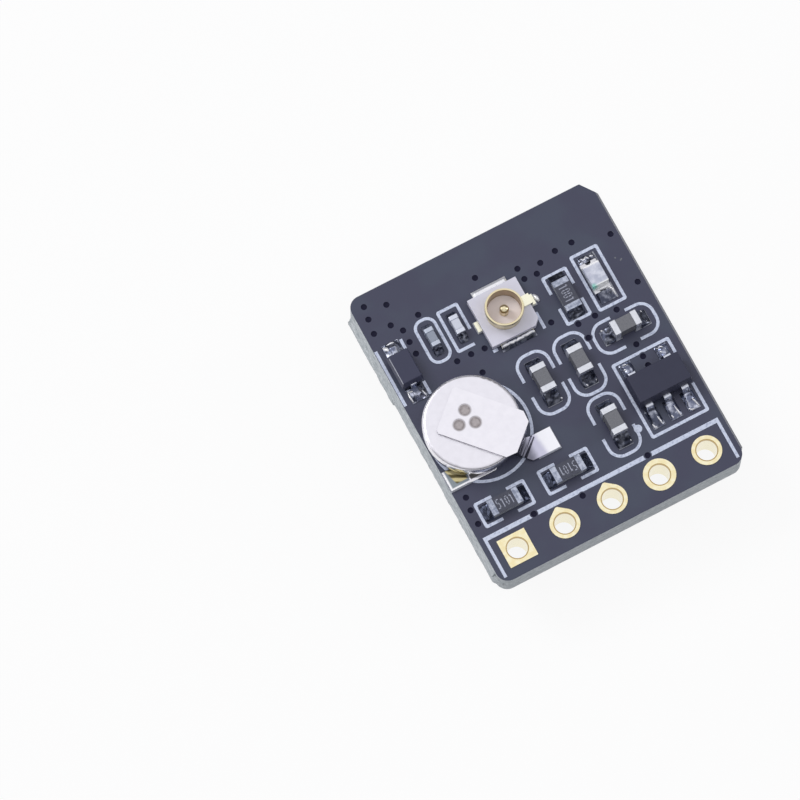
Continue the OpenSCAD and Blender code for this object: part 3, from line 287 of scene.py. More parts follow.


# The header row: copper rings round five plated holes, covered with a thin layer of gold. A brown
# line along the edge of each hole is painted shade, where the ring turns down into the hole.
# The first ring is square, to mark the end that the count starts from. The receiver's contacts
# have the same finish.
hole_pitch, hole_row, hole_radius = 2.54, -6.6, 0.5
edge_width, edge_depth = 0.05, 0.1
mm = start_finish("thin_gold_on_copper", part["header_pads"], part["receiver_contacts"])
worn = mottle(mm, 4.0, 4.0)
barrel = 1 - step(facing_up(mm), 0.3, 0.6)
along_row = axis(mm, "X") - mm.math("ROUND", axis(mm, "X") * (1 / hole_pitch)) * hole_pitch
past_row = axis(mm, "Y") - hole_row
from_hole = mm.math("SQRT", along_row * along_row + past_row * past_row)
hole_rim_shade = (from_hole < hole_radius + edge_width) * (axis(mm, "Z") > board_top - edge_depth)
ring_tone = blend(step(worn, 0.35, 0.7), tone(245, 231, 184), tone(250, 243, 211))
ring_tone = blend(barrel, ring_tone, tone(245, 237, 206))
end_finish(
    mm,
    Base_Color=blend(hole_rim_shade, ring_tone, tone(186, 160, 108)),
    Metallic=1.0,
    Roughness=0.3 + worn * 0.16 - barrel * 0.2,
    Normal=relief(mottle(mm, 14.0, 3.0), 3, 0.5),
)


# The lands that the small parts stand on are copper left open in the mask.
# Solder paste is printed on them and melts in the oven, which tins them all over.
mm = start_finish("tinned_copper", part["solder_lands"])
grain = mottle(mm, 6.0, 4.0)
end_finish(
    mm,
    Base_Color=blend(grain, tone(120, 124, 134), tone(168, 170, 178)),
    Metallic=1.0,
    Roughness=0.2 + grain * 0.2,
    Normal=relief(mottle(mm, 8.0, 3.0), 16, 0.9),
)


# The print on the board is pale ink, pressed through a fine screen and baked.
# It lies thin on the mask and is a little ragged in places.
mm = start_finish("pale_screen_ink", part["board_print"])
thin = mottle(mm, 7.0, 4.0, 0.65)
end_finish(
    mm,
    Base_Color=blend(step(thin, 0.28, 0.55), tone(166, 174, 198), tone(206, 214, 234)),
    Roughness=0.62,
    Normal=relief(thin, 8, 0.6),
)


# Every joint on the board is solder that melted, ran up the metal and set with a hollow, shining
# slope. It is printed as paste, so it covers each land to its end and lies in lumps round the leads.
land_level, under_level = 4.04, 2.36
resistor_places = ((-4.58, -4.42, 0), (-1.2, -4.42, 0), (2.86, 3.2, 90))
socket_middle = (-0.2, 3.8)
slopes, beads = bmesh.new(), bmesh.new()


def slope(x, y, turn, start, run, climb, width, level=land_level, way=1):
    """Solder between a vertical metal face and the end of its land."""
    spin = Matrix.Rotation(math.radians(turn), 3, "Z")
    steps_out, steps_across = 14, 18
    grid = []
    for i in range(steps_out + 1):
        u = i / steps_out
        fall = 0.86 * (1 - u) ** 1.5 + 0.14 * (1 - u**6)
        grid.append([])
        for j in range(steps_across + 1):
            w = -1 + 2 * j / steps_across
            lump = noise.noise(Vector((x * 3 + 3 * u, y * 3 + 2 * w, 7.1 + turn)))
            h = climb * fall * (1 - 0.3 * abs(w) ** 3) * (1 + 0.25 * lump)
            if i == steps_out or j in (0, steps_across):
                h = 0.0
            half = width / 2 * (1 - 0.14 * u**4 + 0.03 * lump)
            spot = spin @ Vector((start + run * u, w * half, 0))
            grid[-1].append(point(slopes, x + spot.x, y + spot.y, level + way * h))
    stitch(slopes, grid, way)


def puddle(x, y, turn, heel, toe, end, half_lead, half_land, depth, uneven=1.0, skin=slopes):
    """Solder round a flat foot, from its heel to the end of its land, thin over the foot itself."""
    spin = Matrix.Rotation(math.radians(turn), 3, "Z")
    steps, behind, heel_fade = 24, 0.12, 0.13
    grid = []
    for i in range(steps + 1):
        u = heel - behind + (end - heel + behind) * i / steps
        past = max(heel - u, 0) / heel_fade + max(u - toe, 0) / (end - toe)
        grid.append([])
        for j in range(steps + 1):
            v = half_land * (-1 + 2 * j / steps)
            beside = max(abs(v) - half_lead, 0) / (half_land - half_lead)
            out = min(1.0, math.hypot(past, beside))
            lump = noise.noise(Vector((x * 5 + 5 * u, y * 5 + 5 * v, 2.3)))
            crown = 0.04 * uneven * max(0.0, 1 - (v / half_lead) ** 2)
            h = (depth + crown) * (1 - out) ** 1.3 + (0.035 * uneven * lump + 0.02) * (1 - out**6)
            if i in (0, steps) or j in (0, steps):
                h = 0.0
            spot = spin @ Vector((u, v, 0))
            grid[-1].append(point(skin, x + spot.x, y + spot.y, land_level + max(h, 0.0)))
    stitch(skin, grid)


def bead(points, half, height):
    """A rounded ridge of solder that runs through the points, thin at its ends."""
    line = [Vector(place) for place in points]
    leg_steps, round_steps = 8, 8
    steps = leg_steps * (len(line) - 1)
    grid = []
    for i in range(steps + 1):
        leg = min(i // leg_steps, len(line) - 2)
        spot = line[leg].lerp(line[leg + 1], (i - leg_steps * leg) / leg_steps)
        along = (line[leg + 1] - line[leg]).normalized()
        aside = Vector((-along.y, along.x, 0))
        taper = max(0.05, math.sin(math.pi * (0.06 + 0.88 * i / steps))) ** 0.6
        grid.append([])
        for j in range(round_steps + 1):
            angle = math.pi * j / round_steps
            rise = Vector((0, 0, height * taper * math.sin(angle)))
            over = spot - aside * half * taper * math.cos(angle) + rise
            grid[-1].append(point(beads, *over))
    stitch(beads, grid)


for x, y, turn, runs in (
    (-0.15, 0.01, 90, (0.47, 0.58)),
    (1.82, 0.01, 90, (0.47, 0.58)),
    (4.57, 0.52, 0, (0.53, 0.53)),
    (1.82, -3.38, 90, (0.47, 0.58)),
):
    for half_turn, run in zip((0, 180), runs):
        slope(x, y, turn + half_turn, start=0.69, run=run, climb=0.48, width=0.82)
for x, y, turn in resistor_places:
    for half_turn in (0, 180):
        slope(x, y, turn + half_turn, start=0.79, run=0.42, climb=0.34, width=0.86)
for x, y in ((-3.79, 4.31), (-2.46, 4.31)):
    for turn, run in ((90, 0.28), (270, 0.4)):
        slope(x, y, turn, start=0.465, run=run, climb=0.3, width=0.5)
for turn, run in ((90, 0.42), (270, 0.54)):
    slope(4.56, 3.36, turn, start=0.79, run=run, climb=0.24, width=0.9)
regulator_foot = {"toe": 1.45, "half_lead": 0.19, "half_land": 0.31, "depth": 0.15}
for x in (3.67, 4.62, 5.57):
    puddle(x, -2.64, -90, heel=1.07, end=1.94, **regulator_foot)
for x in (3.67, 5.57):
    puddle(x, -2.64, 90, heel=1.0, end=1.62, **regulator_foot)
diode_foot = {"heel": 0.92, "toe": 1.3, "end": 1.6, "half_lead": 0.16, "half_land": 0.42, "depth": 0.17}
for turn in (90, 270):
    puddle(-5.68, 3.5, turn, **diode_foot)
socket_foot = {"heel": 1.34, "end": 1.66, "half_lead": 0.84, "half_land": 0.92}
puddle(*socket_middle, 90, toe=1.52, depth=0.14, uneven=0.3, skin=beads, **socket_foot)
puddle(*socket_middle, 270, toe=1.48, depth=0.12, **socket_foot)
# Each ridge below carries the near-white finish of the bright skin, a painted highlight.
for points in (
    ((3.76, -4.0, 4.2), (3.82, -4.26, 4.14), (3.88, -4.52, 4.05)),
    ((4.73, -3.96, 4.2), (4.78, -4.28, 4.14), (4.84, -4.55, 4.05)),
    ((5.62, -3.96, 4.2), (5.73, -4.26, 4.14), (5.82, -4.55, 4.05)),
    ((3.42, -4.3, 4.08), (3.46, -4.48, 4.06), (3.58, -4.54, 4.05)),
    ((4.42, -4.3, 4.08), (4.46, -4.52, 4.05)),
    ((5.3, -4.42, 4.06), (5.42, -4.53, 4.05), (5.56, -4.55, 4.05)),
    ((3.42, -1.08, 4.06), (3.52, -1.2, 4.16), (3.62, -1.08, 4.08), (3.74, -1.22, 4.18), (3.86, -1.1, 4.06)),
    ((3.46, -1.36, 4.2), (3.6, -1.4, 4.21)),
    ((5.34, -1.08, 4.06), (5.44, -1.2, 4.16), (5.54, -1.08, 4.08), (5.66, -1.22, 4.18), (5.76, -1.1, 4.06)),
    ((5.4, -1.34, 4.2), (5.52, -1.42, 4.21)),
    ((-6.06, 2.54, 4.06), (-6.07, 2.25, 4.06), (-6.04, 1.96, 4.05)),
    ((-6.05, 2.5, 4.1), (-5.84, 2.42, 4.22)),
    ((-5.42, 2.3, 4.12), (-5.32, 1.97, 4.05)),
    ((5.57, 0.9, 4.1), (5.62, 0.78, 4.1)),
    ((5.58, 0.36, 4.1), (5.62, 0.26, 4.09)),
    ((3.46, 0.92, 4.1), (3.52, 0.8, 4.11)),
    ((0.22, -1.08, 4.08), (0.26, -1.2, 4.06)),
    ((1.6, -1.08, 4.08), (1.64, -1.22, 4.06)),
    ((2.1, -1.02, 4.09), (2.13, -1.18, 4.06)),
    ((1.9, -0.98, 4.12), (2.0, -1.06, 4.1)),
    ((2.12, -4.4, 4.09), (2.15, -4.56, 4.06)),
    ((4.3, 4.5, 4.08), (4.42, 4.36, 4.16), (4.56, 4.46, 4.1), (4.68, 4.32, 4.17)),
    ((4.74, 4.42, 4.1), (4.92, 4.36, 4.1)),
):
    bead(points, half=0.05, height=0.075)
for points in (
    ((-1.08, 2.37, 4.17), (-0.9, 2.38, 4.19), (-0.66, 2.36, 4.18)),
    ((-0.72, 2.41, 4.19), (-0.5, 2.35, 4.18), (-0.3, 2.39, 4.19)),
    ((-0.36, 2.32, 4.17), (-0.15, 2.37, 4.19), (0.1, 2.33, 4.17)),
    ((0.0, 2.41, 4.19), (0.25, 2.36, 4.19), (0.48, 2.39, 4.19), (0.68, 2.37, 4.17)),
):
    bead(points, half=0.085, height=0.08)
bead(((-6.07, 5.02, 4.04), (-5.98, 4.88, 4.12), (-5.9, 4.72, 4.2)), half=0.11, height=0.08)
bead(((-5.86, 5.03, 4.05), (-5.6, 5.04, 4.06), (-5.42, 4.96, 4.07)), half=0.06, height=0.07)
bead(((1.47, 4.03, 4.0), (1.54, 3.81, 4.02), (1.6, 3.59, 4.0)), half=0.12, height=0.14)
bead(
    ((4.2, 2.69, 4.28), (4.45, 2.68, 4.3), (4.76, 2.66, 4.29), (4.93, 2.45, 4.17), (4.97, 2.14, 4.04)),
    half=0.085,
    height=0.1,
)
contact_pitch, receiver_middle, contact_reach = 1.1, 1.6, 4.85
contact_joint = {"start": -0.02, "run": 0.4, "climb": 0.46, "width": 0.56, "level": under_level, "way": -1}
for side in (-1, 1):
    for k in range(-4, 5):
        slope(k * contact_pitch, receiver_middle + side * contact_reach, side * 90, **contact_joint)
solder_slopes = piece_from(slopes, "solder_slopes")
solder_beads = piece_from(beads, "solder_beads")
for solder in (solder_slopes, solder_beads):
    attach(solder, "root")
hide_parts("solder_joints")
# The solder finish comes in painted copies. The slopes are painted dark grey, a painted dark reflection, and
# paler by the regulator, the diode and the lamp, a painted highlight.
mm = start_finish("dark_solder_painted_reflection", solder_slopes, part["solder_joints"])
set_grain = mottle(mm, 3.0, 3.0)
x, y = axis(mm, "X"), axis(mm, "Y")
by_regulator = (y < -0.9) * step(x, 3.0, 5.6) + (y < -0.9) * (y > -2.0) * (x > 3.0) * 0.5
by_diode = (x < -5.0) * (y > 1.5) * step(y, 0.6, 5.2)
by_lamp = (x > 4.0) * (y > 3.9)
painted_bright_solder = (by_regulator + by_diode + by_lamp) * (axis(mm, "Z") > 3.0)
grey_tone = blend(step(set_grain, 0.4, 0.68), tone(72, 76, 92), tone(150, 154, 168))
# By the two lower left resistors the slopes are painted darker still: painted shade.
grey_tone = blend((x < 0.0) * (y < -3.9), grey_tone, tone(74, 79, 96))
pale_tone = blend(step(set_grain, 0.4, 0.68), tone(112, 118, 140), tone(214, 218, 233))
end_finish(
    mm,
    Base_Color=blend(painted_bright_solder, grey_tone, pale_tone),
    Metallic=1.0,
    Roughness=0.2 + set_grain * 0.14,
    Normal=relief(mottle(mm, 4.0, 2.0), 10, 0.4),
)
# The bright skin, the ridges and the solder on the socket's +Y foot, is painted near white: a painted
# highlight standing for glints and bright streaks.
mm = start_finish("bright_solder_painted_highlight", solder_beads)
set_grain = mottle(mm, 5.0, 3.0)
end_finish(
    mm,
    Base_Color=blend(set_grain, tone(228, 229, 235), tone(252, 252, 254)),
    Metallic=0.5,
    Roughness=0.24 + set_grain * 0.1,
    Normal=relief(set_grain, 8, 0.4),
)


# The antenna socket's base is a pale lilac block, moulded round the shell's feet and the contact.
# The feet hold it to the board. Its floor inside the ring is painted brighter and warmer:
# painted light, standing for light thrown back by the gold round it.
ring_inside = 0.84


def from_upright(mm, middle):
    """How far a spot is from an upright line, in millimetres."""
    flat = mm.node("VectorMath", {"operation": "MULTIPLY"}, {0: mm, 1: (1, 1, 0)})
    return distance(flat, (*middle, 0))


mm = start_finish("pale_moulding", part["antenna_base"])
block_tone = blend(mottle(mm, 2.0, 3.0), tone(207, 206, 221), tone(219, 218, 232))
# Inside the ring the block is painted brighter and warmer: painted light.
in_ring = from_upright(mm, socket_middle) < ring_inside
end_finish(
    mm,
    Base_Color=blend(in_ring, block_tone, tone(248, 238, 238)),
    Roughness=0.5,
    Normal=relief(mottle(mm, 22.0, 2.0), 3, 0.5),
)


# The socket's shell is one sheet of copper alloy, drawn into a ring with a snap groove and plated
# with gold. The contact in its middle is turned, and plated in the same way.
pin_reach, ring_outside, feet_start = 0.5, 0.98, 1.04
mm = start_finish("gold_plated_sheet", part["antenna_shell"], part["antenna_pin"])
plate = mottle(mm, 3.0, 3.0)
from_axis = from_upright(mm, socket_middle)
plate_tone = blend(plate, tone(226, 212, 170), tone(239, 229, 196))
# Inside the ring the gold is painted dark brown on the inner wall: painted shade.
in_ring = (from_axis < ring_inside) * (from_axis > pin_reach)
plate_tone = blend(in_ring, plate_tone, tone(186, 166, 136))
plate_tone = blend(step(from_axis, ring_outside, feet_start), plate_tone, tone(252, 249, 226))
end_finish(
    mm,
    Base_Color=plate_tone,
    Metallic=1.0,
    Roughness=0.24 + plate * 0.1,
    Normal=relief(mottle(mm, 9.0, 3.0, 0.6, (1, 1, 3)), 3, 0.5),
)


# The coin cell is a nickel plated steel can. Its lower edge is closed on a dark seal ring,
# which keeps the two poles apart.
mm = start_finish("satin_nickel_can", part["battery_cell"])
satin = mottle(mm, 3.0, 4.0)
wall = 1 - step(facing_up(mm), 0.1, 0.5)
end_finish(
    mm,
    Base_Color=blend(satin, tone(228, 226, 233), tone(241, 239, 246)),
    Metallic=1.0,
    Roughness=0.34 + satin * 0.1 - wall * 0.24,
    Normal=relief(mottle(mm, 26.0, 2.0), 2, 0.5),
)
two_tone("dark_seal", [part["battery_gasket"]], 4.0, tone(36, 36, 40), tone(58, 58, 62), Roughness=0.7)


# The cell's tabs are nickel strip. The top one is held by three spot welds and bends down to the
# board. The bottom one lies under the cell, with a patch of gold and olive bands on it.
cell_middle, weld_level = Vector((-4.26, -0.5, 0)), 5.5
tab_turn, weld_circle = math.radians(-48), 0.45
mm = start_finish("spot_welded_nickel_strip", part["battery_top_tab"])
weld_middle = cell_middle + Matrix.Rotation(tab_turn, 3, "Z") @ Vector((-0.27, 0.01, weld_level))
nearest = None
for turn in (0, 120, 240):
    angle = tab_turn + math.radians(turn)
    away = distance(mm, weld_middle + weld_circle * Vector((math.cos(angle), math.sin(angle), 0)))
    nearest = away if nearest is None else mm.math("MINIMUM", nearest, away)
welded = 1 - step(nearest, 0.22, 0.36)
satin = mottle(mm, 3.0, 4.0)
burn = mottle(mm, 9.0, 4.0)
scorch = burn * 0.7 + step(nearest, 0.1, 0.26) * 0.3
weld_tone = blend(step(scorch, 0.3, 0.7), tone(178, 171, 172), tone(142, 135, 136))
plate_tone = blend(satin, tone(233, 231, 238), tone(246, 244, 250))
# Its upright cut edges are painted darker grey: painted shade.
cut_edge = 1 - step(facing_up(mm), 0.3, 0.7)
plate_tone = blend(cut_edge, plate_tone, tone(158, 156, 164))
x, y, z = axis(mm, "X"), axis(mm, "Y"), axis(mm, "Z")
# Down the leg to the board the strip is painted in light and shade: dark grey where it bends down, lilac
# beyond, and white on the flat foot, a painted highlight.
shaded = blend(step(x + satin * 0.2, -2.35, -1.85), tone(122, 122, 136), tone(206, 205, 224))
foot = step(x + y * 0.12 + satin * 0.2, -2.05, -1.75)
shaded = blend(foot, shaded, tone(247, 247, 253))
plate_tone = blend(step(z, 4.8, 5.2), shaded, plate_tone)
end_finish(
    mm,
    Base_Color=blend(welded, plate_tone, weld_tone),
    Metallic=1.0 - welded * 0.5,
    Roughness=0.26 + step(z, 4.9, 5.3) * 0.08 + satin * 0.08 + welded * 0.2,
    Normal=relief(mottle(mm, 26.0, 2.0) * 0.1 + welded * burn, 12, 0.7),
)
mm = start_finish("bare_nickel_strip", part["battery_bottom_tab"])
satin = mottle(mm, 3.0, 4.0)
x, y = axis(mm, "X"), axis(mm, "Y")
banded_patch = step(x + (y + 2.3) * 0.3, -6.24, -6.16) * (1 - step(x, -5.6, -5.52)) * step(y, -2.58, -2.5)
bands = mm.math("SINE", (x * 0.45 + y * 0.85) * 19 + satin * 1.2 + 3.0)
band_tone = blend(step(bands, -0.8, 0.7), tone(96, 88, 58), tone(214, 202, 150))
# White lines along its outer edges and its fold are painted highlights.
border_highlight = mm.math("MAXIMUM", 1 - step(x, -6.46, -6.38), 1 - step(y, -2.7, -2.64))
fold = (abs(x + 5.46 - (y + 2.5) * 0.1) < 0.03) * (y < -2.2)
# The strip is painted a darker grey than the top tab, and darker and browner past its fold: painted shade.
strip_tone = blend(satin, tone(112, 122, 128), tone(158, 166, 172))
strip_tone = blend(step(x, -5.5, -5.4), strip_tone, tone(116, 114, 112))
strip_tone = blend(mm.math("MAXIMUM", border_highlight, fold), strip_tone, tone(250, 250, 252))
end_finish(
    mm,
    Base_Color=blend(banded_patch, strip_tone, band_tone),
    Metallic=1.0,
    Roughness=0.1 + satin * 0.06,
    Normal=relief(mottle(mm, 3.0, 2.0), 8, 0.5),
)


# The regulator and the diode are dies moulded in dark resin, with a fine matt skin from the mould.
# A pale line along the upper left edge of the diode is a painted highlight.
mm = start_finish("dark_moulded_resin", part["regulator_body"], part["diode_body"])
skin = mottle(mm, 30.0, 2.0)
x, y = axis(mm, "X"), axis(mm, "Y")
painted_edge_highlight = (abs(x + 6.19) < 0.03) * (axis(mm, "Z") > 4.9) * (y > 2.75) * (y < 4.16)
resin_tone = blend(mottle(mm, 1.2), tone(46, 48, 68), tone(53, 55, 75))
resin_tone = blend(x < 0, resin_tone, tone(58, 60, 82))
end_finish(
    mm,
    Base_Color=blend(painted_edge_highlight, resin_tone, tone(176, 178, 190)),
    Roughness=0.46 + skin * 0.16,
    Specular_IOR_Level=0.35,
    Normal=relief(skin, 4, 0.7),
)


# Their leads are stamped from copper alloy sheet, bent like a gull's wing so that the feet lie flat,
# and tinned.
mm = start_finish("tinned_lead", part["regulator_leads"], part["diode_leads"])
streak = mottle(mm, 5.0, 3.0, 0.6, (3.0, 0.8, 1.0))
end_finish(
    mm,
    Base_Color=blend(streak, tone(192, 197, 210), tone(228, 231, 242)),
    Metallic=1.0,
    Roughness=0.14 + streak * 0.1,
    Normal=relief(streak, 4, 0.5),
)


# The status lamp: a pale laminate chip with plated ends under a block of cloudy clear resin,
# with the light chip and its fine wire inside.
two_tone(
    "pale_chip_laminate", [part["led_base"]], 5.0, tone(152, 158, 163), tone(176, 182, 186), Roughness=0.6
)
mm = start_finish("plated_chip_end", part["led_terminals"])
grain = mottle(mm, 6.0)
end_finish(
    mm,
    Base_Color=blend(grain, tone(200, 200, 206), tone(232, 232, 236)),
    Metallic=1.0,
    Roughness=0.2 + grain * 0.2,
    Normal=relief(grain, 10, 0.6),
)
green_mark = (4.1, 2.76, 4.55)
mm = start_finish("cloudy_resin", part["led_lens"])
cloud = mottle(mm, 2.5, 3.0)
y = axis(mm, "Y")
lens_tone = blend(step(cloud, 0.34, 0.66), tone(180, 185, 203), tone(218, 221, 234))
# Both ends of the lens are painted near white: painted highlights where its end edges catch the light.
lens_tone = blend(step(y + cloud * 0.1, 3.84, 3.94), lens_tone, tone(250, 250, 252))
lens_tone = blend(1 - step(y + cloud * 0.12, 2.88, 2.96), lens_tone, tone(252, 254, 254))
marked = 1 - step(distance(mm, green_mark) + cloud * 0.2, 0.22, 0.42)
end_finish(
    mm,
    Base_Color=blend(marked, lens_tone, tone(116, 204, 186)),
    Roughness=0.28,
    Coat_Weight=0.3,
    Normal=relief(mottle(mm, 6.0, 2.0), 8, 0.5),
)
two_tone("light_chip", [part["led_die"]], 9.0, tone(196, 204, 150), tone(214, 220, 170), Roughness=0.3)
two_tone(
    "gold_wire",
    [part["led_wire"]],
    9.0,
    tone(214, 176, 90),
    tone(230, 196, 110),
    Metallic=1.0,
    Roughness=0.25,
)


# Capacitors are layers of ceramic and metal, fired to one warm grey block and dipped at both ends
# in metal that bulges a little. The two small parts by the socket are made alike, in paler ceramic.
capacitors = [f"capacitor_{i}" for i in (1, 2, 3, 4)]
mm = start_finish("fired_warm_grey_ceramic", *(part[name + "_body"] for name in capacitors))
speck = mottle(mm, 16.0, 4.0)
end_finish(
    mm,
    Base_Color=blend(step(speck, 0.3, 0.7), tone(102, 104, 111), tone(117, 118, 124)),
    Roughness=0.5,
    Normal=relief(speck, 5, 0.7),
)
for name, piece, first, second in (
    ("fired_pale_grey_ceramic", "rf_capacitor_body", tone(132, 140, 156), tone(152, 160, 176)),
    ("fired_white_ceramic", "rf_inductor_body", tone(198, 203, 218), tone(216, 220, 232)),
):
    two_tone(name, [part[piece]], 14.0, first, second, Roughness=0.5)
dipped_ends = [name + "_ends" for name in (*capacitors, "rf_capacitor", "rf_inductor")]
mm = start_finish("dipped_chip_end", *(part[name] for name in dipped_ends))
dip = mottle(mm, 6.0, 4.0)
dip_tone = blend(dip, tone(202, 205, 213), tone(236, 238, 245))
x, y = axis(mm, "X"), axis(mm, "Y")
cool_tone = blend(x < -3.3, tone(214, 218, 230), tone(190, 197, 212))
by_socket = (x < -1.8) * (y > 3.0)
end_finish(
    mm,
    Base_Color=blend(by_socket, dip_tone, cool_tone),
    Metallic=0.85,
    Roughness=0.36 + dip * 0.16,
    Normal=relief(dip, 12, 0.7),
)


# Resistors are ceramic chips with a thin film on top, under a dark glaze.
# Metal is wrapped round both ends of each chip.
resistors = [f"resistor_{i}" for i in (1, 2, 3)]
two_tone(
    "white_chip_ceramic",
    [part[name + "_body"] for name in resistors],
    14.0,
    tone(136, 140, 150),
    tone(160, 164, 173),
    Roughness=0.55,
)
mm = start_finish("black_glaze", *(part[name + "_coat"] for name in resistors))
glaze = mottle(mm, 4.0)
end_finish(
    mm,
    Base_Color=blend(glaze, tone(54, 57, 71), tone(68, 71, 87)),
    Roughness=0.3 + glaze * 0.1,
    Normal=relief(glaze, 6, 0.6),
)
wrapped_ends = [name + "_ends" for name in resistors]
mm = start_finish("wrapped_chip_end", *(part[name] for name in wrapped_ends))
wrap = mottle(mm, 7.0, 4.0)
end_finish(
    mm,
    Base_Color=blend(step(wrap, 0.35, 0.65), tone(136, 143, 162), tone(188, 194, 210)),
    Metallic=1.0,
    Roughness=0.22 + wrap * 0.2,
    Normal=relief(wrap, 14, 0.7),
)


# Each resistor has its value printed on the glaze in plain pale numerals.
# They are single strokes of ink, a few micrometres high.
strokes_of = {
    "0": (
        (0.5, 0), (0.12, 0.14), (0.05, 0.5), (0.12, 0.86), (0.5, 1),
        (0.88, 0.86), (0.95, 0.5), (0.88, 0.14), (0.5, 0),
    ),
    "1": ((0.2, 0.8), (0.55, 1), (0.55, 0)),
    "5": ((0.9, 1), (0.15, 1), (0.1, 0.56), (0.6, 0.62), (0.92, 0.36), (0.75, 0.06), (0.1, 0.04)),
}
digit_pitch, digit_width, digit_height = 0.23, 0.15, 0.46
stroke_end, stroke_spread = 0.018, 1.3
ink_foot, ink_top = -0.004, 0.006
glaze_top = max(corner.co.z for corner in part["resistor_1_coat"].data.vertices) * 1000
numerals = bmesh.new()
for (x, y, _), turn, value in zip(resistor_places, (0, 180, -90), ("5101", "5101", "1001")):
    spin = Matrix.Rotation(math.radians(turn), 3, "Z")
    for place, digit in enumerate(value):
        digit_x = (place - 1.5) * digit_pitch
        line = [
            Vector((digit_x + (u - 0.5) * digit_width, (v - 0.5) * digit_height, 0))
            for u, v in strokes_of[digit]
        ]
        for first, second in zip(line, line[1:]):
            along = (second - first).normalized() * stroke_end
            aside = Vector((-along.y, along.x, 0)) * stroke_spread
            corners = (
                first - along - aside,
                second + along - aside,
                second + along + aside,
                first - along + aside,
            )
            low, high = [
                [
                    point(numerals, *(spin @ corner + Vector((x, y, glaze_top + rise))))
                    for corner in corners
                ]
                for rise in (ink_foot, ink_top)
            ]
            numerals.faces.new(high)
            numerals.faces.new(low[::-1])
            for k in range(4):
                numerals.faces.new((low[k - 1], low[k], high[k], high[k - 1]))
resistor_numerals = piece_from(numerals, "resistor_numerals", smooth=False)
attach(resistor_numerals, "root")
two_tone(
    "pale_numeral_ink", [resistor_numerals], 9.0, tone(138, 142, 160), tone(176, 180, 196), Roughness=0.6
)


# The receiver under the board: a thin laminate with plated half holes along two sides,
# soldered flat to the board, its parts shut in under a drawn steel can.
two_tone("green_laminate", [part["receiver_board"]], 2.0, tone(40, 66, 56), tone(52, 80, 68), Roughness=0.45)
mm = start_finish("plated_can_sheet", part["receiver_can"])
brushed = mottle(mm, 2.0, 5.0, 0.6, (1.0, 14.0, 1.0))
end_finish(
    mm,
    Base_Color=blend(brushed, tone(196, 197, 200), tone(222, 222, 224)),
    Metallic=1.0,
    Roughness=0.26 + brushed * 0.14,
    Normal=relief(brushed, 3, 0.6),
)
two_tone(
    "dark_package",
    [part["receiver_chip"], part["receiver_amplifier"]],
    20.0,
    tone(38, 38, 42),
    tone(52, 52, 56),
    Roughness=0.55,
)
two_tone(
    "pale_package",
    [part["receiver_oscillator"], part["receiver_filter"], part["receiver_crystal"]],
    12.0,
    tone(188, 182, 164),
    tone(206, 200, 184),
    Roughness=0.45,
)


# No moulded, fired or stamped edge on the board is sharp. Each is rounded by a few hundredths
# of a millimetre, by its mould, its firing or the press.
for names, radius in (
    (("regulator_body", "diode_body"), 0.04),
    (("battery_top_tab", "battery_bottom_tab"), 0.025),
    (("regulator_leads", "diode_leads"), 0.03),
    ([name + "_body" for name in capacitors], 0.03),
    (dipped_ends, 0.05),
    ([*wrapped_ends, "led_terminals"], 0.012),
    (("led_lens", "antenna_base"), 0.03),
):
    for name in names:
        join = part[name].modifiers.new("join", "WELD")
        join.merge_threshold = 1e-7
        round_off = part[name].modifiers.new("round_off", "BEVEL")
        round_off.width = radius / 1000
        round_off.segments = 3
        round_off.limit_method = "ANGLE"
        round_off.angle_limit = math.radians(40)


# The studio has a plain white sweep to stand on and a broad pale light overhead,
# with softer lamps behind and at both sides.
def seen_by(bare, *rays):
    """1 for a ray of one of these kinds, 0 for any other."""
    return bare.math("MINIMUM", sum(bare.node("LightPath", out=f"Is {ray} Ray") for ray in rays), 1.0)


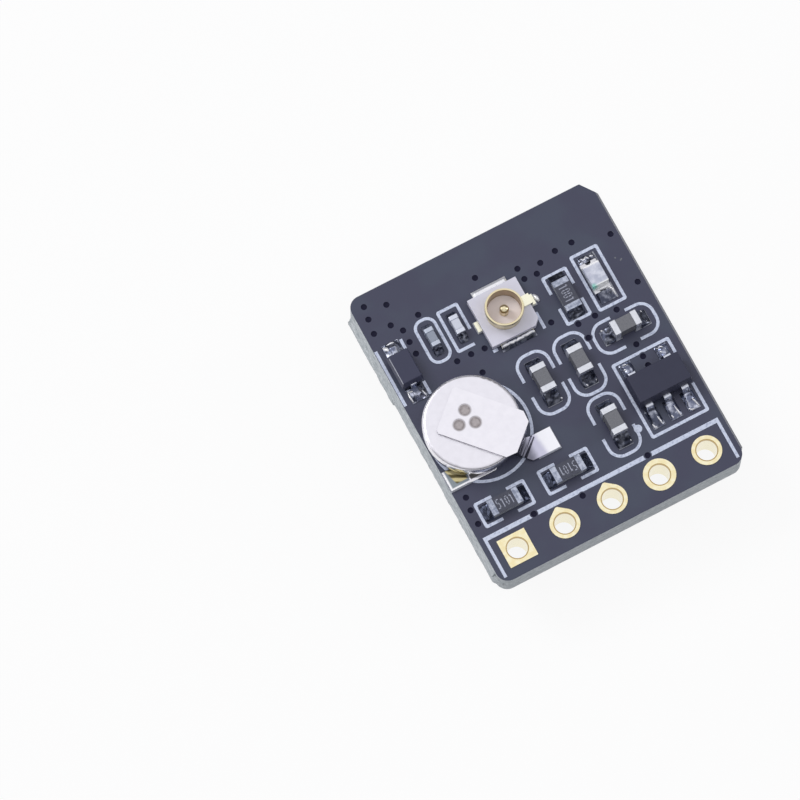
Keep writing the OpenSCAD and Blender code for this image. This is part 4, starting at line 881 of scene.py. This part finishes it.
sheet = bmesh.new()
bmesh.ops.create_grid(sheet, x_segments=8, y_segments=8, size=1.5)
floor = piece_from(sheet, "floor", smooth=False)
mm = start_finish("white_sweep", floor)
paper = mm.node("BsdfDiffuse", None, {"Color": (0.82, 0.82, 0.83, 1)})
glow = mm.node("Emission", None, {"Color": (1, 1, 1, 1), "Strength": 1.0})
glow_share = seen_by(mm, "Camera", "Glossy", "Transmission") * 0.9
sweep = mm.node("MixShader", None, {0: glow_share, 1: paper, 2: glow})
mm.node("OutputMaterial", None, {"Surface": sweep})

studio = bpy.data.worlds.new("studio")
bpy.context.scene.world = studio
studio.use_nodes = True
studio.node_tree.nodes.clear()
bare = Shade(studio.node_tree)
overhead = step(axis(bare.node("TexCoord", out="Generated"), "Z"), 0.42, 0.82)
dome = blend(overhead, (0.1, 0.1, 0.11, 1), (0.95, 0.95, 0.97, 1))
backdrop = blend(seen_by(bare, "Camera", "Transmission"), dome, (1, 1, 1, 1))
sky = bare.node("Background", None, {"Color": backdrop, "Strength": 1.0})
bare.node("OutputWorld", None, {"Surface": sky})

for name, spot, width, power in (
    ("back_lamp", (-0.13, 0.2, 0.24), 0.14, 0.36),
    ("left_lamp", (-0.27, 0.1, 0.07), 0.14, 0.11),
    ("right_lamp", (0.27, -0.06, 0.15), 0.12, 0.14),
):
    lamp = bpy.data.objects.new(name, bpy.data.lights.new(name, "AREA"))
    lamp.data.shape = "DISK"
    lamp.data.size = width
    lamp.data.energy = power
    lamp.location = spot
    lamp.rotation_euler = (-Vector(spot)).to_track_quat("-Z", "Y").to_euler()
    bpy.context.scene.collection.objects.link(lamp)

camera_place = Vector((-0.043812, -0.067229, 0.276726))
across = Vector((0.88276227, -0.46981904, 0.00091843))
upright = Vector((0.45108585, 0.84810699, 0.27791382))
towards = Vector((-0.13134813, -0.24491754, 0.96060557))
camera_turn = Matrix((across, upright, towards)).transposed().to_4x4()
camera = bpy.data.objects.new("camera", bpy.data.cameras.new("camera"))
camera.data.sensor_width = 36
camera.data.lens = 270
camera.data.clip_start = 0.01
camera.data.shift_x = -0.0015
camera.data.shift_y = 0.0015
camera.matrix_world = Matrix.Translation(camera_place) @ camera_turn
bpy.context.scene.collection.objects.link(camera)
bpy.context.scene.camera = camera
bpy.context.scene.view_settings.view_transform = "Standard"
